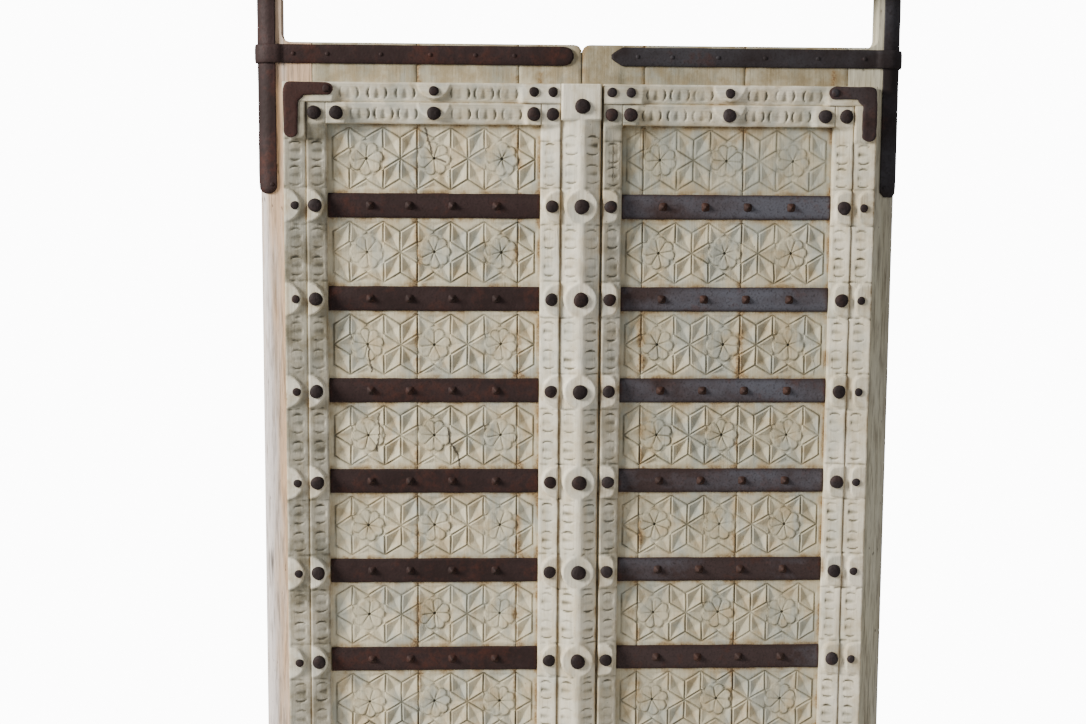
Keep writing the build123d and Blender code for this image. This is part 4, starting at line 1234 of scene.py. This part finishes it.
def studs(leaf):
    """Pyramid studs on every band."""
    x = PANEL[0] + np.array(STUD_SHARES[leaf]) * (PANEL[1] - PANEL[0]) - LEAF
    x, level = np.meshgrid(x, BAND_LEVELS)
    places = np.stack([x, np.full_like(x, BANDS[0][0][1] + STUD_SEAT), level], -1).reshape(-1, 3)
    sizes, rises = np.full(len(places), STUD_SIZE[0]), np.full(len(places), STUD_SIZE[1])
    points, faces = heads(places, sizes, rises, PYRAMID, SQUARE, SEED_OF[leaf] + 1)
    put(leaf, "studs_forged", "band_studs", points, faces, STUD_IRON[leaf])


for leaf in BODY_OF:
    bosses(leaf)
    studs(leaf)

# %% [markdown]
# Straps, sheaths and corner plates are flat iron bent or cut to shape. Each is a section carried along a
# path: the hinge strap runs along the front, steps up over the sheath, wraps the post and ends behind; the
# corner plate follows an L. A sweep only needs the rows of section points, and it closes both ends itself.

# %% Sweep and bent sheets
PIVOT = FRONT - LEAF
STRAP_THICK = 5.0
SHEATH_THICK = 4.0
SHEATH_FLAT = 9.0
IRON_FIT = 0.2
PATH_STEP = 5.0


def sweep(rows):
    """Closed tube through loops of section points; the first and last loops become its ends."""
    count, around = rows.shape[:2]
    start = np.arange(around)[None, ::-1]
    end = (count - 1) * around + np.arange(around)[None]
    return rows.reshape(-1, 3), [(grid_faces(count, around, True), True), (start, False), (end, False)]


def polyline(corners, size):
    """Points every few millimetres along a line through corners."""
    corners = np.asarray(corners, float)
    pieces = [corners[:1]]
    for first, last in zip(corners, corners[1:]):
        count = max(1, int(round(np.hypot(*(last - first)) / size)))
        pieces.append(first + (last - first) * np.linspace(0, 1, count + 1)[1:, None])
    return np.concatenate(pieces)


def nose_arc(radius, count):
    """Half circle round the pivot from the front to the back."""
    angle = np.linspace(-np.pi / 2, -3 * np.pi / 2, count)
    return np.stack([PIVOT + radius * np.cos(angle), radius * np.sin(angle)], -1)


def outward_of(path):
    """Unit vectors in plan, square to a path and on its left-hand side."""
    tangent = np.gradient(path, axis=0)
    tangent /= np.hypot(*tangent.T)[:, None]
    return np.stack([-tangent[:, 1], tangent[:, 0]], -1)


SHEET_EDGE = np.array([-1, -0.95, -0.85, -0.5, 0, 0.5, 0.85, 0.95, 1])


def bent_sheet(path, low, high, thick, seed):
    """Sheet along a path in plan: a bellied outer face with eased edges, and a flat inner face."""
    along = np.concatenate([[0], np.cumsum(np.hypot(*np.diff(path, axis=0).T))])
    outward = outward_of(path)
    share = np.concatenate([SHEET_EDGE, [1, -1]])
    lift = thick * np.concatenate([1 - np.abs(SHEET_EDGE) ** 8 * 0.45, [0, 0]])
    middle, half = (low + high) / 2, (high - low) / 2
    dent = 0.3 * (1 + rough(along[:, None], share[None] * half[:, None], 16, seed))
    offset = np.maximum(lift[None] - dent * (lift > 0), 0)
    level = middle[:, None] + share[None] * half[:, None]
    x = path[:, :1] + outward[:, :1] * offset
    y = path[:, 1:] + outward[:, 1:] * offset
    return along, sweep(np.stack([x, y, level], -1))


print("pivot line", PIVOT)

# %% [markdown]
# The hinge strap ties the leaf to its post, and the sheath is a plate round the nose of the post that saves
# the wood from wear. A box with a bend modifier could make either, but the bend would have to be tuned by
# eye. With the path drawn in plan the iron lies on the wood all the way round, and only the height of the
# sheet changes along it, for the round or pointed ends.

# %% Hinge straps and sheaths
STRAP_TIP = {"left": 20.0, "right": 21.0}
STRAP_TAIL = 68.0
STEP_ROOM = 4.0
STEP_RUN = 8.0
SHEATH_END = 18.0
SHEATH_STEP = 2.0
BLUNT_HALF = 8.0
BLUNT_SLOPE = 1.1


def strap_half(along, half, leaf, seed):
    """Half height of a strap: wavering edges, then a round end on the left leaf or a point on the right."""
    share = np.clip(along / STRAP_TIP[leaf], 0, 1)
    tip = np.sqrt(1 - (1 - share) ** 2) if leaf == "left" else share ** 0.85
    return (half - 0.4 + 0.4 * rough(along, along * 0, 40, seed)) * (0.22 + 0.78 * tip)


def hinge_strap(leaf):
    """Top strap from its free end to its tail behind the stile."""
    low, high = box_mm(f"{leaf}_top_hinge_strap")
    free = -abs(high[0] if leaf == "left" else low[0])
    radius = FRONT + SHEATH_THICK + IRON_FIT
    step = PIVOT + SHEATH_FLAT + STEP_ROOM
    front = [(free, -FRONT), (step + STEP_RUN, -FRONT), (step, -radius), (PIVOT, -radius)]
    back = [(PIVOT, radius), (step, radius), (step + STEP_RUN, FRONT), (PIVOT + STRAP_TAIL, FRONT)]
    front, back = polyline(front, PATH_STEP), polyline(back, PATH_STEP)
    path = np.concatenate([front[:-1], nose_arc(radius, 21), back[1:]])
    along = np.concatenate([[0], np.cumsum(np.hypot(*np.diff(path, axis=0).T))])
    half = strap_half(along, (high[2] - low[2]) / 2, leaf, SEED_OF[leaf])
    level = (low[2] + high[2]) / 2
    points, faces = bent_sheet(path, level - half, level + half, STRAP_THICK, SEED_OF[leaf] + 2)[1]
    put(leaf, "hinge_strap_forged", "top_hinge_strap", points, faces, STRAP_IRON[leaf])


def bottom_strap(leaf):
    """Plain strap along the foot of the leaf."""
    low, high = box_mm(f"{leaf}_bottom_strap")
    free = -abs(high[0] if leaf == "left" else low[0])
    path = polyline([(free, -FRONT), (PIVOT, -FRONT)], PATH_STEP)
    half = strap_half(np.abs(path[:, 0] - free), (high[2] - low[2]) / 2, leaf, SEED_OF[leaf] + 5)
    level = (low[2] + high[2]) / 2
    points, faces = bent_sheet(path, level - half, level + half, STRAP_THICK, SEED_OF[leaf] + 6)[1]
    put(leaf, "bottom_strap_forged", "bottom_strap", points, faces, STRAP_IRON[leaf])


def sheath(leaf):
    """Plate round the nose of the stile, its lower end round on the left leaf and cut blunt on the right."""
    low, high = box_mm("left_pivot_sheath")
    flat = PIVOT + SHEATH_FLAT
    before = polyline([(flat, -FRONT), (PIVOT, -FRONT)], SHEATH_STEP)
    behind = polyline([(PIVOT, FRONT), (flat, FRONT)], SHEATH_STEP)
    path = np.concatenate([before[:-1], nose_arc(FRONT, 25), behind[1:]])
    off = np.abs(path[:, 0] - (flat + low[0] + SHEATH_THICK) / 2)
    if leaf == "left":
        foot = SHEATH_END - np.sqrt(np.maximum(SHEATH_END ** 2 - off ** 2, 0))
    else:
        foot = np.maximum(off - BLUNT_HALF, 0) * BLUNT_SLOPE
    stretches = np.linspace(0, 1, 40)
    outer = foot[:, None] + low[2] + (high[2] - low[2] - foot[:, None]) * stretches
    outward = outward_of(path)
    around = np.arange(len(path))[:, None] * 2.5
    dent = 0.35 * (1 + rough(around, outer, 20, SEED_OF[leaf]))
    lift = SHEATH_THICK - dent - bump(outer - outer[:, :1], 1.5)
    offset = np.concatenate([lift, np.zeros((len(path), 2))], 1)
    level = np.concatenate([outer, outer[:, -1:], outer[:, :1]], 1)
    x, y = path[:, :1] + outward[:, :1] * offset, path[:, 1:] + outward[:, 1:] * offset
    points, faces = sweep(np.stack([x, y, level], -1))
    put(leaf, "sheath_forged", "pivot_sheath", points, faces, STRAP_IRON[leaf])


for leaf in BODY_OF:
    hinge_strap(leaf)
    bottom_strap(leaf)
    sheath(leaf)

# %% [markdown]
# The corner plate holds the top corner of each leaf: an L between two edge lines, which draw together into a
# round end on each arm. It could be cut from a sheet with a boolean, but that leaves sharp edges. Steps from
# one line to the other give it a soft rim. The nails are small heads along the straps, with the rivet of the
# plate among them.

# %% Corner plates and nails
PLATE_ARMS = (25.0, 29.0)
PLATE_ROUND = 12.0
PLATE_CORNER = 3.5
PLATE_FILLET = 7.0
RIVET_INSET = 12.0
NAIL_SIZE = (4.0, 2.2)
RIVET_SIZE = (8.0, 3.6)
NAIL_SEAT = 0.6
PLATE_ACROSS = np.array([-0.96, -0.86, -0.5, 0, 0.5, 0.86, 0.96, 1.0, -1.0])
PLATE_LIFT = np.array([0.75, 1, 1, 1, 1, 1, 0.75, 0, 0])
NAIL_INSETS = {"left": (66, 130, 231, 324, 409, 483), "right": (70, 160, 262, 352, 440, 506)}


def corner_plate(leaf):
    """L-shaped plate: an outer and an inner edge line, drawn together into round ends, with a soft rim."""
    low, high = box_mm("left_corner_plate")
    arm, leg = PLATE_ARMS
    outer = np.array([(high[0], high[2]), (low[0], high[2]), (low[0], low[2])])
    inner = np.array([(high[0], high[2] - arm), (low[0] + leg, high[2] - arm), (low[0] + leg, low[2])])
    share = np.concatenate([np.linspace(0, 1, 22) ** 1.4, 1 + (1 - (1 - np.linspace(0, 1, 22)[1:]) ** 1.4)])
    stops = np.arange(3)
    edge_a = np.stack([np.interp(share, stops, outer[:, k]) for k in (0, 1)], -1)
    edge_b = np.stack([np.interp(share, stops, inner[:, k]) for k in (0, 1)], -1)
    centre = (edge_a + edge_b) / 2
    from_end = np.minimum(high[0] - centre[:, 0], centre[:, 1] - low[2])
    squeeze = np.sqrt(1 - (1 - np.clip(from_end / PLATE_ROUND, 0.02, 1)) ** 2)
    seed = SEED_OF[leaf] + 9
    squeeze = squeeze * (0.95 + 0.05 * rough(share * 60, share * 0, 9, seed))
    corner = bump(share - 1, 0.06) * PLATE_CORNER
    edge_a = edge_a + np.stack([corner, -corner], -1)
    fillet = bump(share - 1, 0.1) * PLATE_FILLET
    edge_b = edge_b + np.stack([fillet, -fillet], -1)
    centre, half = (edge_a + edge_b) / 2, (edge_a - edge_b) / 2
    lift = (high[1] - low[1]) * PLATE_LIFT
    x = centre[:, :1] + half[:, :1] * squeeze[:, None] * PLATE_ACROSS
    z = centre[:, 1:] + half[:, 1:] * squeeze[:, None] * PLATE_ACROSS
    y = high[1] - np.maximum(lift - 0.25 * (lift > 0) * (1 + rough(x, z, 12, seed + 1)), 0)
    points, faces = sweep(np.stack([x, y, z], -1))
    put(leaf, "corner_plate_forged", "corner_plate", points, faces, PLATE_IRON[leaf])


def nails(leaf):
    """Nearly round domed heads along both straps, one on the corner plate and one in the foot of the sheath.
    """
    strap, foot = box_mm(f"{leaf}_top_hinge_strap"), box_mm(f"{leaf}_bottom_strap")
    plate, cover = box_mm("left_corner_plate"), box_mm("left_pivot_sheath")
    rows = []
    for low, high in (strap, foot):
        rows += [(inset - LEAF, -FRONT - STRAP_THICK, (low[2] + high[2]) / 2) for inset in NAIL_INSETS[leaf]]
    rows.append((plate[1][0] - RIVET_INSET, plate[0][1], plate[1][2] - PLATE_ARMS[0] / 2))
    rows.append((PIVOT, cover[0][1], cover[0][2] + SHEATH_END))
    places = np.array(rows) + (0, NAIL_SEAT, 0)
    sizes, rises = np.tile(NAIL_SIZE, (len(rows), 1)).T
    sizes[-2], rises[-2] = RIVET_SIZE
    points, faces = heads(places, sizes, rises, DOME, NEAR_ROUND, SEED_OF[leaf] + 3)
    put(leaf, "nails_forged", "nails", points, faces, STRAP_IRON[leaf])


for leaf in BODY_OF:
    corner_plate(leaf)
    nails(leaf)

# %% [markdown]
# The stile is one upright timber: round nose, flat faces, then a narrower post with a scooped root and a
# turned pivot at each end. A spin could turn the pivots but not the flat faces, so the section is carried up
# the pivot line and changes from level to level. Two rows at one level make a flat shoulder.

# %% Stiles
JOURNAL = 20.0
POST_WIDTH, STILE_WIDTH = 44.0, 100.0
ROOT_SCOOP = 16.0
FRONT_POINTS, NOSE_POINTS = 8, 20
STILE_SHARP = np.radians(40)


def stile_outline(width):
    """Loop of the stile's section, counter-clockwise from above: front, inner side, back, round nose."""
    front = np.linspace(PIVOT, width - LEAF, FRONT_POINTS)
    run = np.stack([front, np.full(FRONT_POINTS, -FRONT)], -1)
    angle = np.linspace(np.pi / 2, 3 * np.pi / 2, NOSE_POINTS)[1:-1]
    nose = np.stack([PIVOT + FRONT * np.cos(angle), FRONT * np.sin(angle)], -1)
    return np.concatenate([run, run[::-1] * (1, -1), nose])


def stile(leaf):
    """Rows of the section from the lower pivot to the upper one."""
    low, high = box_mm("left_stile")
    post_top = box_mm("left_pivot_sheath")[1][2]
    scoop = np.linspace(0, ROOT_SCOOP, 7)
    root = POST_WIDTH + ROOT_SCOOP - np.sqrt(ROOT_SCOOP ** 2 - (ROOT_SCOOP - scoop) ** 2)
    body = np.linspace(LEAF_BOTTOM, LEAF_TOP, 150)
    post = np.linspace(LEAF_TOP + ROOT_SCOOP, post_top, 8)[1:]
    levels = np.concatenate([[low[2], LEAF_BOTTOM], body, LEAF_TOP + scoop, post, [post_top, high[2]]])
    body_widths, post_widths = np.full(len(body), STILE_WIDTH), np.full(len(post), POST_WIDTH)
    widths = np.concatenate([[0, 0], body_widths, root, post_widths, [0, 0]])
    loops = np.stack([stile_outline(width or POST_WIDTH) for width in widths])
    angle = np.arctan2(loops[..., 1], loops[..., 0] - PIVOT)
    turned = np.stack([PIVOT + JOURNAL * np.cos(angle), JOURNAL * np.sin(angle)], -1)
    loops = np.where((widths == 0)[:, None, None], turned, loops)
    around = np.arange(loops.shape[1]) * 6.0
    dent = 0.35 * (1 + rough(around[None], levels[:, None] * 0.25, 14, SEED_OF[leaf] + 4))
    loops[..., 1] -= np.sign(loops[..., 1]) * dent * (widths > 0)[:, None]
    rows = np.concatenate([loops, np.broadcast_to(levels[:, None, None], (*loops.shape[:2], 1))], -1)
    points, faces = sweep(rows)
    piece = put(leaf, "stile_turned", "stile", points, faces, STILE_WOOD[leaf])
    piece.data.set_sharp_from_angle(angle=STILE_SHARP)


for leaf in BODY_OF:
    stile(leaf)

# %% [markdown]
# Behind the planks a ledge crosses the leaf at each band. The ledges face backwards, so the slab is made
# facing forwards and then turned over, which also turns its faces.

# %% Ledges
def ledges(leaf):
    """One mesh of all the ledges: slightly waved boards with worn edges."""
    points, faces, start = [], [[], [], []], 0
    low, high = box_mm("left_ledges")
    height = 2 * (high[2] - BAND_LEVELS.max())
    for place, level in enumerate(BAND_LEVELS):
        along = runs(low[0], (low[0] + 3, 1.5), (high[0] - 3, 16), (high[0], 1.5))
        x, t = np.meshgrid(along, across_shares(0.75, 6))
        z = level + t * (height / 2 - 0.8 * (1 + rough(x, np.sign(t), 60, SEED_OF[leaf] + place)) / 2)
        edge = np.minimum(np.minimum(x - low[0], high[0] - x), (1 - np.abs(t)) * height / 2)
        worn = 1.8 * bump(edge, 1.6) + 0.5 * (1 + rough(x, z, 45, SEED_OF[leaf] + 20 + place))
        made, parts = slab(x, -high[1] + worn, z, -low[1])
        made[:, 1] *= -1
        points.append(made)
        for group, (part, smooth) in zip(faces, parts):
            group.append(part[:, ::-1] + start)
        start += len(made)
    joined = [(np.concatenate(group), flag) for group, flag in zip(faces, (True, False, False))]
    put(leaf, "ledges_worn", "ledges", np.concatenate(points), joined, LEDGE_WOOD)


for leaf in BODY_OF:
    ledges(leaf)

# %% [markdown]
# Nothing is left as plain CAD: solids whose shape is right keep it and take a finish from the same family.

# %% Finishes on the solids that stay
def dress(node, material):
    """Give a CAD node its finish."""
    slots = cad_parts[node].data.materials
    slots.clear()
    slots.append(material)


dress("threshold", FRAME_WOOD)
dress("head_beam", FRAME_WOOD)
print("dressed the threshold and the head beam")

# %% [markdown]
# The camera stands where the photographer stood: about three metres off, a little to the left of the
# meeting line and looking slightly down. Yaw, pitch and roll were found by matching the ends of the bands.

# %% Camera
IMAGE_WIDTH = 1086
FOCAL_PIXELS = 1600.0
CAMERA_PLACE = (-0.2138, -3.1055, 1.6877)
YAW, PITCH, ROLL = np.radians([2.662, -6.517, 0.379])

forward = np.array([np.sin(YAW) * np.cos(PITCH), np.cos(YAW) * np.cos(PITCH), np.sin(PITCH)])
level_right = np.array([np.cos(YAW), -np.sin(YAW), 0.0])
level_up = np.cross(level_right, forward)
right = np.cos(ROLL) * level_right + np.sin(ROLL) * level_up
up = np.cos(ROLL) * level_up - np.sin(ROLL) * level_right
lens = bpy.data.cameras.new("viewpoint")
lens.sensor_width = 36.0
lens.lens = FOCAL_PIXELS / IMAGE_WIDTH * lens.sensor_width
camera = bpy.data.objects.new("viewpoint", lens)
turned = np.eye(4)
turned[:3, 0], turned[:3, 1], turned[:3, 2], turned[:3, 3] = right, up, -forward, CAMERA_PLACE
camera.matrix_world = Matrix(turned.tolist())
bpy.context.scene.collection.objects.link(camera)
bpy.context.scene.camera = camera
print("lens", round(lens.lens, 2), "mm")

# %% [markdown]
# One broad light far to the left makes each cut show a dark and a bright side. A pale world fills the rest.

# %% Light and floor
def lamp(name, place, aim, size, power, colour):
    """Square area light turned towards a point."""
    data = bpy.data.lights.new(name, "AREA")
    data.size, data.energy, data.color = size, power, colour
    light = bpy.data.objects.new(name, data)
    direction = Matrix.Translation(place).to_translation() - Matrix.Translation(aim).to_translation()
    light.rotation_euler = direction.to_track_quat("Z", "Y").to_euler()
    light.location = place
    bpy.context.scene.collection.objects.link(light)


MIDDLE = (0.0, 0.0, 1.25)
KEY_PLACE, KEY_SIZE, KEY_POWER = (-5.97, -2.54, 3.87), 2.4, 1060
FILL_PLACE, FILL_SIZE, FILL_POWER = (2.2, -4.4, 3.0), 3.0, 36
SKY_STRENGTH, BACKDROP_STRENGTH = 0.28, 12.0
lamp("key", KEY_PLACE, MIDDLE, KEY_SIZE, KEY_POWER, (1.0, 0.985, 0.95))
lamp("fill", FILL_PLACE, MIDDLE, FILL_SIZE, FILL_POWER, (0.96, 0.98, 1.0))
world = bpy.data.worlds.new("studio")
world.use_nodes = True
sky_nodes, sky_links = world.node_tree.nodes, world.node_tree.links
sky = sky_nodes["Background"]
sky.inputs["Color"].default_value = (0.95, 0.97, 1.0, 1)
sky.inputs["Strength"].default_value = SKY_STRENGTH
backdrop = sky_nodes.new("ShaderNodeBackground")
backdrop.inputs["Color"].default_value = (1, 1, 1, 1)
backdrop.inputs["Strength"].default_value = BACKDROP_STRENGTH
eye = sky_nodes.new("ShaderNodeLightPath")
choice = sky_nodes.new("ShaderNodeMixShader")
sky_links.new(eye.outputs["Is Camera Ray"], choice.inputs[0])
sky_links.new(sky.outputs[0], choice.inputs[1])
sky_links.new(backdrop.outputs[0], choice.inputs[2])
sky_links.new(choice.outputs[0], sky_nodes["World Output"].inputs["Surface"])
bpy.context.scene.world = world

FLOOR_HALF = 1.4
floor_mesh = bpy.data.meshes.new("floor")
corners = [(x * FLOOR_HALF, y * FLOOR_HALF, 0) for x, y in ((-1, -1), (1, -1), (1, 1), (-1, 1))]
floor_mesh.from_pydata(corners, [], [(0, 1, 2, 3)])
floor = bpy.data.objects.new("floor", floor_mesh)
floor_finish = Finish("floor_paint", Roughness=0.8)
floor_colour = floor_finish.mix(floor_finish.noise(3.0), (0.8, 0.79, 0.77), (0.76, 0.75, 0.73))
floor_finish.link(floor_finish.shader.inputs["Base Color"], floor_colour)
floor_mesh.materials.append(floor_finish.material)
bpy.context.scene.collection.objects.link(floor)
print("floor and lights ready")
